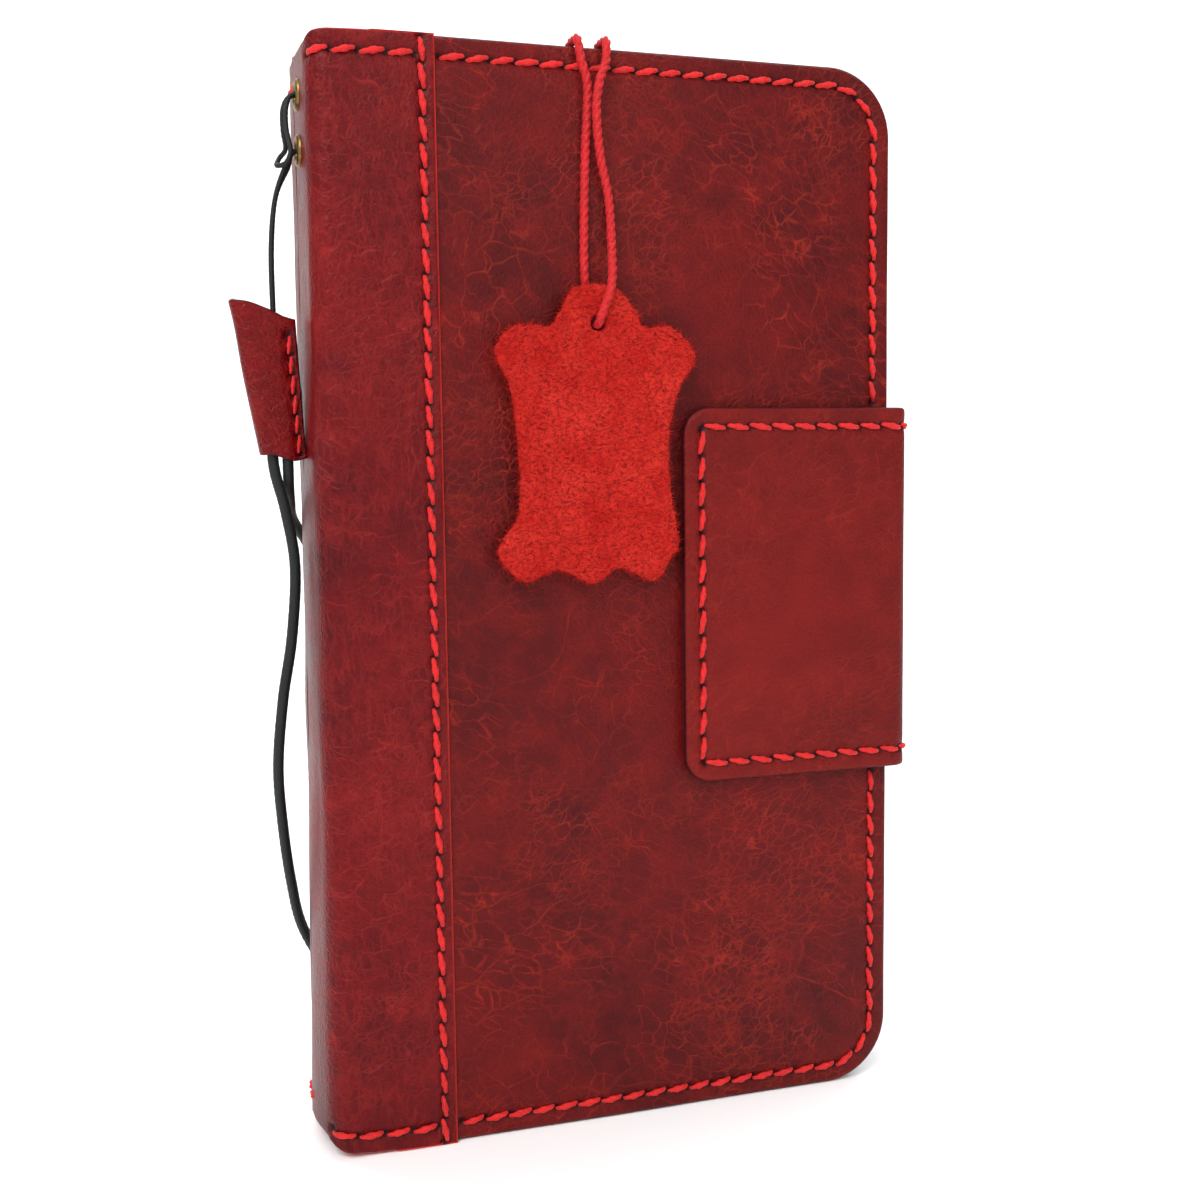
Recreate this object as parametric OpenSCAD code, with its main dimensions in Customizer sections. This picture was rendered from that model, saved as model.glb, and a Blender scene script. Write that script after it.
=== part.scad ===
// Phone wallet case in red leather, standing closed, with a magnetic strap, a hide-shaped hang tag and a wrist lanyard.
// Millimetres. X runs from the spine to the strap, Y from the front cover to the back cover, Z up from the surface it stands on.

/* [Phone] */
// phone height
phone_h = 144; // [120:1:172]
// phone width
phone_w = 70; // [62:0.5:84]
// phone thickness
phone_t = 7.7; // [6.5:0.1:10]

/* [Case] */
// from the shell's ends to the covers' top and bottom edges
end_margin = 4.1; // [3:0.1:8]
// from the spine's outer face to the shell
spine_margin = 7.85; // [7.5:0.05:10]
// from the shell to the covers' free edges
free_margin = 5.85; // [4:0.05:9]
// room between the pockets and the shell when the case is closed
closed_room = 1.6; // [1:0.1:4]
// radius of the covers' free corners
corner_r = 10; // [7:0.5:14]

/* [Leather and boards] */
// cover and spine leather
leather_t = 1.6; // [1.2:0.1:1.8]
// stiffening board inside each cover
board_t = 0.8; // [0.5:0.1:1]
// suede lining
lining_t = 0.6; // [0.4:0.1:0.8]

/* [Spine strip] */
// how far the spine's leather laps over each cover, from the spine's outer face
strip_w = 17; // [14:0.5:20]
// how far the lap stands proud of the cover
lap_t = 0.6; // [0.4:0.1:0.8]
// outer radius of the spine's two folds
fold_r = 3; // [2.4:0.1:4]

/* [Strap] */
// height of the strap
strap_h = 55; // [40:1:64]
// how far the strap's flap reaches over the front cover
flap_w = 34.5; // [28:0.5:38]
// strap thickness, leather and lining together
strap_t = 2; // [1.8:0.1:2.6]
// room between the strap and the covers' free edges
strap_gap = 0.5; // [0.4:0.1:1]

/* [Stitching] */
// distance from one stitch to the next
stitch_pitch = 3.5; // [3:0.1:4.5]
// thread thickness
thread_d = 1; // [0.7:0.1:1.2]
// distance of the stitching from an edge
stitch_inset = 2.8; // [2.4:0.1:3.4]

/* [Tag] */
// thickness of the hang tag
tag_t = 1.6; // [1.2:0.1:2]
// diameter of the tag's cord
tag_cord_d = 1.3; // [1:0.1:1.5]

/* [Lanyard] */
// diameter of the wrist cord
wrist_cord_d = 1.6; // [1.2:0.1:1.8]
// diameter of the thin loop cord
loop_cord_d = 0.7; // [0.5:0.1:0.8]

/* [Hidden] */
// every node, in the order of the bodies: back, spine, front, strap, tag, lanyard

$fn = 48;

// the leather's colours
deep_red = [0.50, 0.10, 0.12];
strip_red = [0.58, 0.12, 0.14];
bright_red = [0.85, 0.12, 0.12];
lining_red = [0.36, 0.06, 0.08];
board_grey = [0.55, 0.53, 0.50];
shell_red = [0.40, 0.05, 0.07];
brass = [0.55, 0.42, 0.22];
cord_black = [0.05, 0.06, 0.07];
steel_grey = [0.62, 0.63, 0.65];

// the moulded shell that holds the phone, and the pockets
shell_wall = 1.4;
shell_back = 1.2;
shell_lip = 0.5;
shell_lip_w = 0.8;
shell_r = 9;
pocket_t = 0.5;
pocket_layers = 4;

// the case's overall size follows from the phone and the layers round it
wall_t = leather_t + board_t + lining_t;
case_h = phone_h + 2 * shell_wall + 2 * end_margin;
case_w = spine_margin + phone_w + 2 * shell_wall + free_margin;
case_t = 2 * wall_t + shell_back + phone_t + shell_lip + pocket_layers * pocket_t + closed_room;

// the case's faces
strap_out = strap_gap + strap_t;
left_x = -(case_w + strap_out) / 2;
right_x = left_x + case_w;
front_y = -case_t / 2;
back_y = case_t / 2;
strip_y = case_t / 2 + lap_t;

// the covers' layers stop short of each other towards their edges
board_inset = 1.5;
lining_inset = 0.8;
// radius of the spine strip's ends
strip_end_r = 4;
// where the cover leather starts, under the lap
cover_x = left_x + strip_w / 2;
// the room that a fold needs, from the spine's outer face to a cover's boards and lining
board_x = left_x + 5.5;
lining_x = left_x + 4.5;

// the shell's faces
shell_x0 = left_x + spine_margin;
shell_x1 = right_x - free_margin;
shell_z0 = end_margin;
shell_z1 = case_h - end_margin;
shell_y1 = back_y - wall_t;
bay_y1 = shell_y1 - shell_back;
bay_y0 = bay_y1 - phone_t;
shell_y0 = bay_y0 - shell_lip;

// the camera window, near the phone's top corner
window_w = 24;
window_h = 36;
window_r = 4;
window_margin = 4;
window_x = shell_x1 - shell_wall - window_margin - window_w / 2;
window_z = shell_z1 - shell_wall - window_margin - window_h / 2;

// the shell's openings for the charging socket and the side buttons
port_w = 40;
port_t = 5.2;
button_h = 34;
button_t = 4.6;
button_z = case_h - 66;

// the pockets on the inside of the front cover
pocket_x0 = left_x + 12;
pocket_x1 = right_x - 2;
pocket_step = 10;
pocket_r = 3;
card_pocket_h = 92;
card_pocket_z0 = (case_h - card_pocket_h) / 2;
cash_z0 = 4;
cash_z1 = case_h - 20;
pocket_face = front_y + wall_t;

// the stitching's bars
stitch_len = 0.75 * stitch_pitch;
stitch_proud = 0.45;
seam_inset = 1.8;
stitch_slant = 8;

// the strap, its two layers, and the radius of its two folds
strap_z = case_h / 2;
strap_z0 = strap_z - strap_h / 2;
strap_z1 = strap_z + strap_h / 2;
strap_face_gap = 0.3;
strap_leather_t = 0.6 * strap_t;
strap_lining_t = strap_t - strap_leather_t;
strap_x1 = right_x + strap_out;
strap_front_y = front_y - strap_face_gap - strap_t;
strap_back_y = back_y + strap_t;
strap_r = strap_t + 0.4;
strap_corner_r = 4;
flap_x0 = right_x - flap_w;
tail_w = 24;
tail_x0 = right_x - tail_w;

// the magnet in the flap and the steel plate it holds on to
magnet_d = 14;
magnet_t = 0.9;
magnet_inset = 14;
magnet_x = flap_x0 + magnet_inset;
magnet_y = strap_front_y + strap_leather_t;
plate_w = 18;
plate_h = 26;
plate_r = 2;

// the eyelets
eyelet_y = -1.5;
eyelet_d = 4.4;
eyelet_bore = 2.4;
eyelet_barrel = 3;
eyelet_flange = 0.5;
eyelet_z = [case_h - 7.3, case_h - 14.7];

// the hang tag's outline from its hole, clockwise from the top left
tag_outline = [
    [-3, 5], [2.5, 5], [5.5, 2], [7, -0.5], [11, -0.5], [14.5, -4.5], [12, -9.5], [10.5, -16.5],
    [10.8, -24], [11.8, -31], [10.5, -33.5], [8, -36.5], [3, -34.5], [-1, -36.5], [-6.5, -34.5],
    [-11.5, -36], [-15, -31.5], [-12, -26.5], [-11.8, -18.5], [-12.8, -9.5], [-15, -4], [-12, -0.5],
    [-7, -0.5], [-5, 2.5]];
tag_x = left_x + 39;
tag_z = case_h - 38.3;
tag_hole_d = 2.2;
tag_back_y = front_y - 1.4;
tag_front_y = tag_back_y - tag_t;

// the tag cord's route, as [across from the tag's hole, from the front cover's face, down from the top edge]
tag_cord_route = [
    [-0.4, 4.6, -8], [-1.4, 4.1, -5], [-1.7, 3.8, -1.5], [-1.8, 3, 0.7], [-1.8, 1, 0.95], [-1.8, -0.7, 0.6],
    [-1.5, -1.25, -2.2], [-0.6, -1.2, -6], [-0.9, -0.8, -14], [-1.2, -0.7, -24], [-1.2, -0.7, -32],
    [-0.4, -0.7, -36.6], [0, -1.2, -38.3], [0, -2.7, -38.5], [0, -3.8, -37.8], [0.9, -3.8, -35.5],
    [1.8, -3.75, -32.5], [2.4, -2, -27], [2.4, -1, -21], [1, -1.6, -15], [0.3, -2.3, -9],
    [0.9, -2.1, -5], [2.1, -1.25, -2.2], [2.4, -0.7, 0.6], [2.4, 1, 0.95], [2.4, 3, 0.7],
    [2.2, 3.8, -1.5], [1.8, 4.1, -5], [0.9, 4.6, -8]];
tag_knot_d = 2.8;
tag_knot = [tag_x + 0.2, front_y + 4.7, case_h - 9];

// the lanyard's sleeve, beside the spine
sleeve_w = 7.4;
sleeve_t = 3.6;
sleeve_z0 = case_h - 57;
sleeve_z1 = case_h - 37;
sleeve_x = left_x - 4.6;
sleeve_channel = [5.4, 1.9];

// the thin loop's route, as [from the spine's outer face, depth, down from the top edge]:
// up from the sleeve, in by the lower eyelet, out by the upper one, round its own neck and back the same way
loop_cord_route = [
    [-4.4, -0.4, -37], [-4.4, -0.6, -28], [-3.6, -0.8, -21], [-1.8, -1.8, -16], [-0.9, -1.9, -14.9],
    [3.3, -1.9, -14.7], [4.1, -1.9, -11], [3.3, -1.9, -7.4], [-0.8, -1.9, -7.3], [-1.9, -2, -9],
    [-2, -2.2, -12], [-1.6, -2.9, -15], [-2.2, -2.5, -16.6], [-3.3, -1.2, -16.8], [-2.8, 0, -15.6],
    [-2, -0.7, -14.4], [-2.3, -0.9, -12], [-2.2, -1, -9], [-0.8, -1.1, -7.3], [3.3, -1.1, -7.4],
    [4.1, -1.1, -11], [3.3, -1.1, -14.7], [-0.9, -1.1, -14.9], [-1.8, -0.9, -17], [-3.5, 0, -21],
    [-4.2, 0.2, -28], [-4.2, 0.4, -37]];

// the wrist cord's route, as [from the spine's outer face, depth for a 19 mm case, down from the top edge]
wrist_cord_route = [
    [-4.9, 0, -50], [-4.9, 0, -57.4], [-3.4, 0.3, -64], [-2.3, 0.5, -72], [-3, 1, -82], [-4.4, 2, -91],
    [-5.2, 3.5, -101], [-4.6, 5.5, -110], [-3.4, 8, -119], [-1.6, 11, -127], [2, 12.4, -134],
    [7, 12.8, -140], [12, 13, -145], [18, 13.3, -148], [24, 13.6, -149], [29, 13.6, -147],
    [30, 13.5, -141], [28, 13.4, -133], [23, 13.2, -119], [17, 13, -105], [11, 12.8, -91],
    [6, 12.6, -79], [1.5, 12.2, -70], [-1.3, 9.5, -65.5], [-2.2, 5, -62.8], [-2.7, 1.6, -60.8],
    [-2.9, 0, -57.4], [-2.9, 0, -50]];

// ---------------------------------------------------------------- shapes shared by the sub-parts

// a flat outline in X and Z, made solid from one depth to another
module slab(y0, y1) {
    translate([0, y1, 0])
        rotate([90, 0, 0])
            linear_extrude(y1 - y0)
                children();
}

// an upright panel's outline: square at the spine, round at the free corners
module cover_outline(x0, inset) {
    x1 = right_x - inset;
    r = corner_r - inset;
    translate([x0, inset])
        square([x1 - r - x0, case_h - 2 * inset]);
    translate([x1 - r - 0.01, corner_r])
        square([r + 0.01, case_h - 2 * corner_r]);
    for (z = [corner_r, case_h - corner_r])
        translate([x1 - r, z])
            circle(r);
}

// a rectangle with four round corners
module round_rect(x0, x1, z0, z1, r) {
    translate([x0 + r, z0])
        square([x1 - x0 - 2 * r, z1 - z0]);
    translate([x0, z0 + r])
        square([x1 - x0, z1 - z0 - 2 * r]);
    for (x = [x0 + r, x1 - r], z = [z0 + r, z1 - r])
        translate([x, z])
            circle(r);
}

module camera_window() {
    round_rect(window_x - window_w / 2, window_x + window_w / 2,
               window_z - window_h / 2, window_z + window_h / 2, window_r);
}

// one stitch, seen flat
module stitch(x, z, turn) {
    translate([x, z])
        rotate(turn + stitch_slant)
            square([stitch_len, thread_d], center = true);
}

// a straight row of stitches from one point to another, seen flat
module stitch_row(from, to) {
    run = norm(to - from);
    count = floor(run / stitch_pitch);
    turn = atan2(to.y - from.y, to.x - from.x);
    for (i = [0 : count - 1])
        let (p = from + (to - from) * (i + 0.5) / count)
            stitch(p.x, p.y, turn);
}

// the covers' stitching line: along the top, round the free corners and back along the bottom
line_r = corner_r - stitch_inset;
line_x0 = left_x + strip_w + 0.8;
line_top = right_x - corner_r - line_x0;
line_arc = line_r * PI / 2;
line_side = case_h - 2 * corner_r;
line_all = 2 * line_top + 2 * line_arc + line_side;

// a point of the top half of that line, and the line's direction there
function line_half(s) =
    s < line_top ? [line_x0 + s, case_h - stitch_inset, 0]
    : s < line_top + line_arc ?
        let (a = (s - line_top) / line_r * 180 / PI)
            [right_x - corner_r + line_r * sin(a), case_h - corner_r + line_r * cos(a), -a]
    : [right_x - stitch_inset, case_h - corner_r - (s - line_top - line_arc), -90];

function line_point(s) =
    s <= line_all / 2 ? line_half(s)
    : let (p = line_half(line_all - s)) [p.x, case_h - p.y, 180 - p.z];

module edge_stitches() {
    count = floor(line_all / stitch_pitch);
    for (i = [0 : count - 1])
        let (p = line_point(line_all * (i + 0.5) / count))
            stitch(p.x, p.y, p.z);
}

// stitches that hold a lap of the spine strip: the long seam, and short rows at the top and the bottom
module strip_stitches() {
    seam_x = left_x + strip_w - seam_inset;
    stitch_row([seam_x, 6], [seam_x, case_h - 6]);
    for (z = [stitch_inset, case_h - stitch_inset])
        stitch_row([left_x + fold_r + 1.5, z], [seam_x + 0.5, z]);
}

// ---------------------------------------------------------------- folded leather, seen from above

// a folded band's section: a thickness that follows a box whose folds on one side are round
module band_section(t, x_out, x_in, y0, y1, r, side) {
    difference() {
        fold_box(x_out, x_in, y0, y1, r, side);
        fold_box(x_out + side * t, x_in + side, y0 + t, y1 - t, max(r - t, 0.1), side);
    }
}

// a box whose two corners at x_out are round. side is 1 where the box lies to the right of x_out, -1 to the left
module fold_box(x_out, x_in, y0, y1, r, side) {
    xc = x_out + side * r;
    translate([min(xc, x_in), y0])
        square([abs(x_in - xc), y1 - y0]);
    translate([min(x_out, xc + side * 0.01), y0 + r])
        square([r + 0.01, y1 - y0 - 2 * r]);
    for (y = [y0 + r, y1 - r])
        translate([xc, y])
            circle(r);
}

// the part of a band between its two folds, cut on each fold's diagonal
module between_folds(x_out, y0, y1, r, side) {
    far = 12;
    polygon([
        [x_out - side * far, y0 - far], [x_out + side * r, y0 + r],
        [x_out + side * r, y1 - r], [x_out - side * far, y1 + far]]);
}

// the part of a band before its front fold (end -1) or behind its back fold (end 1)
module beyond_fold(x_out, x_in, y, r, side, end) {
    far = 12;
    polygon([
        [x_out - side * far, y + end * far], [x_out + side * r, y - end * r],
        [x_in, y - end * r], [x_in, y + end * far]]);
}

module spine_band() {
    band_section(leather_t, left_x, left_x + strip_w, -strip_y, strip_y, fold_r, 1);
}

// the spine strip is round at its ends, seen from the front
module strip_ends() {
    slab(-strip_y - 1, strip_y + 1)
        round_rect(left_x, left_x + strip_w + 2 * strip_end_r, 0, case_h, strip_end_r);
}

// ---------------------------------------------------------------- the back cover

module back_cover_leather() {
    color(deep_red)
        slab(back_y - leather_t, back_y)
            difference() {
                cover_outline(cover_x, 0);
                camera_window();
            }
}

module back_stiffener() {
    color(board_grey)
        slab(back_y - leather_t - board_t, back_y - leather_t)
            difference() {
                cover_outline(board_x, board_inset);
                camera_window();
            }
}

module back_lining() {
    color(lining_red)
        slab(back_y - wall_t, back_y - wall_t + lining_t)
            difference() {
                cover_outline(lining_x, lining_inset);
                camera_window();
            }
}

module phone_shell() {
    mid_x = (shell_x0 + shell_x1) / 2;
    mid_y = (bay_y0 + bay_y1) / 2;
    color(shell_red)
        difference() {
            slab(shell_y0, shell_y1)
                round_rect(shell_x0, shell_x1, shell_z0, shell_z1, shell_r);
            // the phone's bay
            slab(bay_y0, bay_y1)
                round_rect(shell_x0 + shell_wall, shell_x1 - shell_wall,
                           shell_z0 + shell_wall, shell_z1 - shell_wall, shell_r - shell_wall);
            // the mouth inside the lip
            slab(shell_y0 - 1, bay_y0 + 0.01)
                round_rect(shell_x0 + shell_wall + shell_lip_w, shell_x1 - shell_wall - shell_lip_w,
                           shell_z0 + shell_wall + shell_lip_w, shell_z1 - shell_wall - shell_lip_w,
                           shell_r - shell_wall - shell_lip_w);
            slab(bay_y1 - 0.01, shell_y1 + 1)
                camera_window();
            // the charging socket's opening in the bottom wall
            translate([mid_x - port_w / 2, mid_y - port_t / 2, shell_z0 - 1])
                cube([port_w, port_t, shell_wall + 2]);
            // the side buttons' opening in the wall at the free edge
            translate([shell_x1 - shell_wall - 1, mid_y - button_t / 2, button_z])
                cube([shell_wall + 2, button_t, button_h]);
        }
}

module back_edge_stitching() {
    color(bright_red)
        slab(back_y, back_y + stitch_proud)
            difference() {
                edge_stitches();
                // the strap's tail covers the stitching here
                translate([tail_x0, strap_z0 - 1.5])
                    square([strap_x1 - tail_x0, strap_h + 3]);
            }
}

module back_spine_strip() {
    color(strip_red) {
        intersection() {
            linear_extrude(case_h)
                intersection() {
                    spine_band();
                    difference() {
                        beyond_fold(left_x, left_x + strip_w, strip_y, fold_r, 1, 1);
                        // the cover's leather lies under the lap
                        translate([cover_x - 0.1, 0])
                            square([strip_w, back_y]);
                    }
                }
            strip_ends();
        }
    }
}

module back_seam_stitching() {
    color(bright_red)
        slab(strip_y, strip_y + stitch_proud)
            strip_stitches();
}

// ---------------------------------------------------------------- the spine

module spine_leather() {
    color(strip_red)
        difference() {
            intersection() {
                linear_extrude(case_h)
                    intersection() {
                        spine_band();
                        between_folds(left_x, -strip_y, strip_y, fold_r, 1);
                    }
                strip_ends();
            }
            eyelet_holes();
        }
}

module spine_lining() {
    end_room = 5;
    color(lining_red)
        difference() {
            translate([left_x + leather_t, -strip_y + fold_r + 1, end_room])
                cube([lining_t, 2 * (strip_y - fold_r - 1), case_h - 2 * end_room]);
            eyelet_holes();
        }
}

// a hole through the spine at each eyelet
module eyelet_holes() {
    for (z = eyelet_z)
        translate([left_x - 1, eyelet_y, z])
            rotate([0, 90, 0])
                cylinder(h = 6, d = eyelet_barrel + 0.2);
}

module eyelet(z) {
    length = leather_t + lining_t + 0.5;
    color(brass)
        translate([left_x, eyelet_y, z])
            rotate([0, 90, 0])
                difference() {
                    union() {
                        translate([0, 0, -eyelet_flange])
                            cylinder(h = eyelet_flange, d = eyelet_d);
                        cylinder(h = length, d = eyelet_barrel);
                    }
                    translate([0, 0, -2])
                        cylinder(h = length + 4, d = eyelet_bore);
                }
}

module upper_eyelet() {
    eyelet(eyelet_z[0]);
}

module lower_eyelet() {
    eyelet(eyelet_z[1]);
}

module eyelet_washers() {
    color(brass)
        for (z = eyelet_z)
            translate([left_x + leather_t + lining_t, eyelet_y, z])
                rotate([0, 90, 0])
                    difference() {
                        cylinder(h = 0.4, d = eyelet_d);
                        translate([0, 0, -1])
                            cylinder(h = 3, d = eyelet_barrel + 0.2);
                    }
}

// two stitches across the spine at the bottom, and at the top those that the upper eyelet leaves room for
module spine_edge_stitching() {
    row_z = strip_end_r + 1.5;
    reach = case_t / 2 - fold_r - 2;
    color(bright_red)
        for (z = [row_z, case_h - row_z], y = [-reach, reach])
            if (z < case_h / 2 || abs(y - eyelet_y) > (eyelet_d + stitch_len) / 2 + 0.2)
                translate([left_x - stitch_proud, y - stitch_len / 2, z - thread_d / 2])
                    cube([stitch_proud, stitch_len, thread_d]);
}

// ---------------------------------------------------------------- the front cover

module front_cover_leather() {
    color(deep_red)
        slab(front_y, front_y + leather_t)
            cover_outline(cover_x, 0);
}

module front_stiffener() {
    color(board_grey)
        slab(front_y + leather_t, front_y + leather_t + board_t)
            difference() {
                cover_outline(board_x, board_inset);
                translate([magnet_x - plate_w / 2 - 0.1, strap_z - plate_h / 2 - 0.1])
                    square([plate_w + 0.2, plate_h + 0.2]);
            }
}

module keeper_plate() {
    color(steel_grey)
        slab(front_y + leather_t, front_y + leather_t + board_t)
            round_rect(magnet_x - plate_w / 2, magnet_x + plate_w / 2,
                       strap_z - plate_h / 2, strap_z + plate_h / 2, plate_r);
}

module front_lining() {
    color(lining_red)
        slab(front_y + wall_t - lining_t, front_y + wall_t)
            cover_outline(lining_x, lining_inset);
}

module cash_pocket() {
    color(lining_red)
        slab(pocket_face, pocket_face + pocket_t)
            round_rect(pocket_x0, pocket_x1, cash_z0, cash_z1, pocket_r);
}

// card pockets lie on one another, each starting a step nearer the free edge
module card_pocket(layer) {
    y0 = pocket_face + layer * pocket_t;
    color(strip_red)
        slab(y0, y0 + pocket_t)
            round_rect(pocket_x0 + layer * pocket_step, pocket_x1,
                       card_pocket_z0, card_pocket_z0 + card_pocket_h, pocket_r);
}

module card_pocket_back() {
    card_pocket(1);
}

module card_pocket_middle() {
    card_pocket(2);
}

module card_pocket_front() {
    card_pocket(3);
}

// rows at the pockets' top and bottom, on whichever pocket is uppermost, and one down the free edge
module pocket_stitching() {
    row_inset = 2;
    color(bright_red) {
        for (layer = [1 : 3], z = [card_pocket_z0 + row_inset, card_pocket_z0 + card_pocket_h - row_inset])
            let (x0 = pocket_x0 + layer * pocket_step + 1,
                 x1 = layer < 3 ? x0 + pocket_step - 2 : pocket_x1 - 4,
                 y0 = pocket_face + (layer + 1) * pocket_t)
                slab(y0, y0 + stitch_proud)
                    stitch_row([x0, z], [x1, z]);
        slab(pocket_face + 4 * pocket_t, pocket_face + 4 * pocket_t + stitch_proud)
            stitch_row([pocket_x1 - row_inset, card_pocket_z0 + 5],
                       [pocket_x1 - row_inset, card_pocket_z0 + card_pocket_h - 5]);
    }
}

module front_edge_stitching() {
    color(bright_red)
        slab(front_y - stitch_proud, front_y)
            difference() {
                edge_stitches();
                // no stitches show where the strap lies on the cover
                translate([flap_x0 - 1, strap_z0 - 1.5])
                    square([strap_x1 - flap_x0, strap_h + 3]);
            }
}

module front_spine_strip() {
    color(strip_red)
        intersection() {
            linear_extrude(case_h)
                intersection() {
                    spine_band();
                    difference() {
                        beyond_fold(left_x, left_x + strip_w, -strip_y, fold_r, 1, -1);
                        translate([cover_x - 0.1, front_y])
                            square([strip_w, case_t]);
                    }
                }
            strip_ends();
        }
}

module front_seam_stitching() {
    color(bright_red)
        slab(-strip_y - stitch_proud, -strip_y)
            strip_stitches();
}

// ---------------------------------------------------------------- the strap

// one layer of the strap's section, from a depth inside its outer face, t thick
module strap_band(depth, t) {
    band_section(t, strap_x1 - depth, flap_x0, strap_front_y + depth, strap_back_y - depth,
                 strap_r - depth, -1);
}

// the strap's outline from the front, round at the flap's free corners
module strap_heights() {
    slab(strap_front_y - 1, strap_back_y + 1)
        round_rect(flap_x0, strap_x1 + 2 * strap_corner_r, strap_z0, strap_z1, strap_corner_r);
}

// the strap's section in front of its front fold
module flap_cut() {
    beyond_fold(strap_x1, flap_x0, strap_front_y, strap_r, -1, -1);
}

// the strap's section between its folds
module side_cut() {
    between_folds(strap_x1, strap_front_y, strap_back_y, strap_r, -1);
}

// the strap's section behind its back fold
module tail_cut() {
    beyond_fold(strap_x1, tail_x0, strap_back_y, strap_r, -1, 1);
}

// the magnet's place, with a little room round it
module magnet_pocket(room) {
    translate([magnet_x, magnet_y - magnet_t / 2 - room, strap_z])
        rotate([-90, 0, 0])
            cylinder(h = magnet_t + 2 * room, d = magnet_d + 2 * room);
}

module strap_flap_leather() {
    color(deep_red)
        difference() {
            intersection() {
                linear_extrude(case_h)
                    intersection() {
                        strap_band(0, strap_leather_t);
                        flap_cut();
                    }
                strap_heights();
            }
            magnet_pocket(0.05);
        }
}

module strap_flap_lining() {
    color(lining_red)
        difference() {
            intersection() {
                linear_extrude(case_h)
                    intersection() {
                        strap_band(strap_leather_t, strap_lining_t);
                        flap_cut();
                    }
                strap_heights();
            }
            magnet_pocket(0.05);
        }
}

module strap_magnet() {
    color(steel_grey)
        magnet_pocket(0);
}

module strap_flap_stitching() {
    top = strap_z1 - stitch_inset;
    bottom = strap_z0 + stitch_inset;
    left = flap_x0 + stitch_inset;
    color(bright_red)
        slab(strap_front_y - stitch_proud, strap_front_y) {
            stitch_row([left, bottom + 1.5], [left, top - 1.5]);
            stitch_row([left + 1.5, top], [right_x - 2, top]);
            stitch_row([left + 1.5, bottom], [right_x - 2, bottom]);
        }
}

module strap_side_leather() {
    color(deep_red)
        intersection() {
            linear_extrude(case_h)
                intersection() {
                    strap_band(0, strap_leather_t);
                    side_cut();
                }
            strap_heights();
        }
}

module strap_side_lining() {
    color(lining_red)
        intersection() {
            linear_extrude(case_h)
                intersection() {
                    strap_band(strap_leather_t, strap_lining_t);
                    side_cut();
                }
            strap_heights();
        }
}

module strap_side_stitching() {
    rows = [strap_z0 + stitch_inset, strap_z1 - stitch_inset];
    count = floor((case_t - 4) / stitch_pitch);
    color(bright_red)
        for (z = rows, i = [0 : count - 1])
            translate([strap_x1, (i - (count - 1) / 2) * stitch_pitch - stitch_len / 2, z - thread_d / 2])
                cube([stitch_proud, stitch_len, thread_d]);
}

module strap_tail_leather() {
    color(deep_red)
        intersection() {
            linear_extrude(case_h)
                intersection() {
                    strap_band(0, strap_leather_t);
                    tail_cut();
                }
            slab(0, strap_back_y + 1)
                round_rect(tail_x0, strap_x1 + 2 * strap_corner_r, strap_z0, strap_z1, strap_corner_r);
        }
}

module strap_tail_lining() {
    color(lining_red)
        intersection() {
            linear_extrude(case_h)
                intersection() {
                    strap_band(strap_leather_t, strap_lining_t);
                    tail_cut();
                }
            slab(0, strap_back_y + 1)
                round_rect(tail_x0, strap_x1 + 2 * strap_corner_r, strap_z0, strap_z1, strap_corner_r);
        }
}

module strap_tail_stitching() {
    top = strap_z1 - stitch_inset;
    bottom = strap_z0 + stitch_inset;
    left = tail_x0 + stitch_inset;
    color(bright_red)
        slab(strap_back_y, strap_back_y + stitch_proud) {
            stitch_row([left, bottom + 1.5], [left, top - 1.5]);
            stitch_row([left + 1.5, top], [right_x - 2, top]);
            stitch_row([left + 1.5, bottom], [right_x - 2, bottom]);
        }
}

// ---------------------------------------------------------------- the hang tag

module hang_tag() {
    color(bright_red)
        slab(tag_front_y, tag_back_y)
            translate([tag_x, tag_z])
                difference() {
                    polygon(tag_outline);
                    circle(d = tag_hole_d);
                }
}

module tag_cord() {
    color(bright_red)
        tube([for (p = tag_cord_route) [tag_x + p.x, front_y + p.y, case_h + p.z]], tag_cord_d, 1);
}

module tag_cord_knot() {
    color(bright_red)
        translate(tag_knot)
            sphere(d = tag_knot_d, $fn = 24);
}

// ---------------------------------------------------------------- the lanyard

module loop_cord() {
    color(cord_black)
        tube([for (p = loop_cord_route) [left_x + p.x, p.y, case_h + p.z]], loop_cord_d, 1);
}

module lanyard_sleeve() {
    color(deep_red)
        difference() {
            translate([sleeve_x - sleeve_w / 2, -sleeve_t / 2, sleeve_z0])
                cube([sleeve_w, sleeve_t, sleeve_z1 - sleeve_z0]);
            translate([sleeve_x - sleeve_channel.x / 2, -sleeve_channel.y / 2, sleeve_z0 - 1])
                cube([sleeve_channel.x, sleeve_channel.y, sleeve_z1 - sleeve_z0 + 2]);
        }
}

module sleeve_stitching() {
    color(bright_red)
        for (side = [-1, 1])
            slab(side > 0 ? sleeve_t / 2 : -sleeve_t / 2 - stitch_proud,
                 side > 0 ? sleeve_t / 2 + stitch_proud : -sleeve_t / 2)
                stitch_row([sleeve_x + sleeve_w / 2 - 1.2, sleeve_z0 + 1],
                           [sleeve_x + sleeve_w / 2 - 1.2, sleeve_z1 - 1]);
}

module wrist_cord() {
    color(cord_black)
        tube([for (p = wrist_cord_route) [left_x + p.x, p.y * case_t / 19, case_h + p.z]],
             wrist_cord_d, 2);
}

// ---------------------------------------------------------------- a tube along a route

function unit(v) = v / norm(v);

// a smooth curve through a route's points, with a number of steps between each two
function curve_point(a, b, c, d, t) =
    0.5 * ((2 * b) + (c - a) * t + (2 * a - 5 * b + 4 * c - d) * t * t
           + (3 * b - a - 3 * c + d) * t * t * t);

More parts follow.
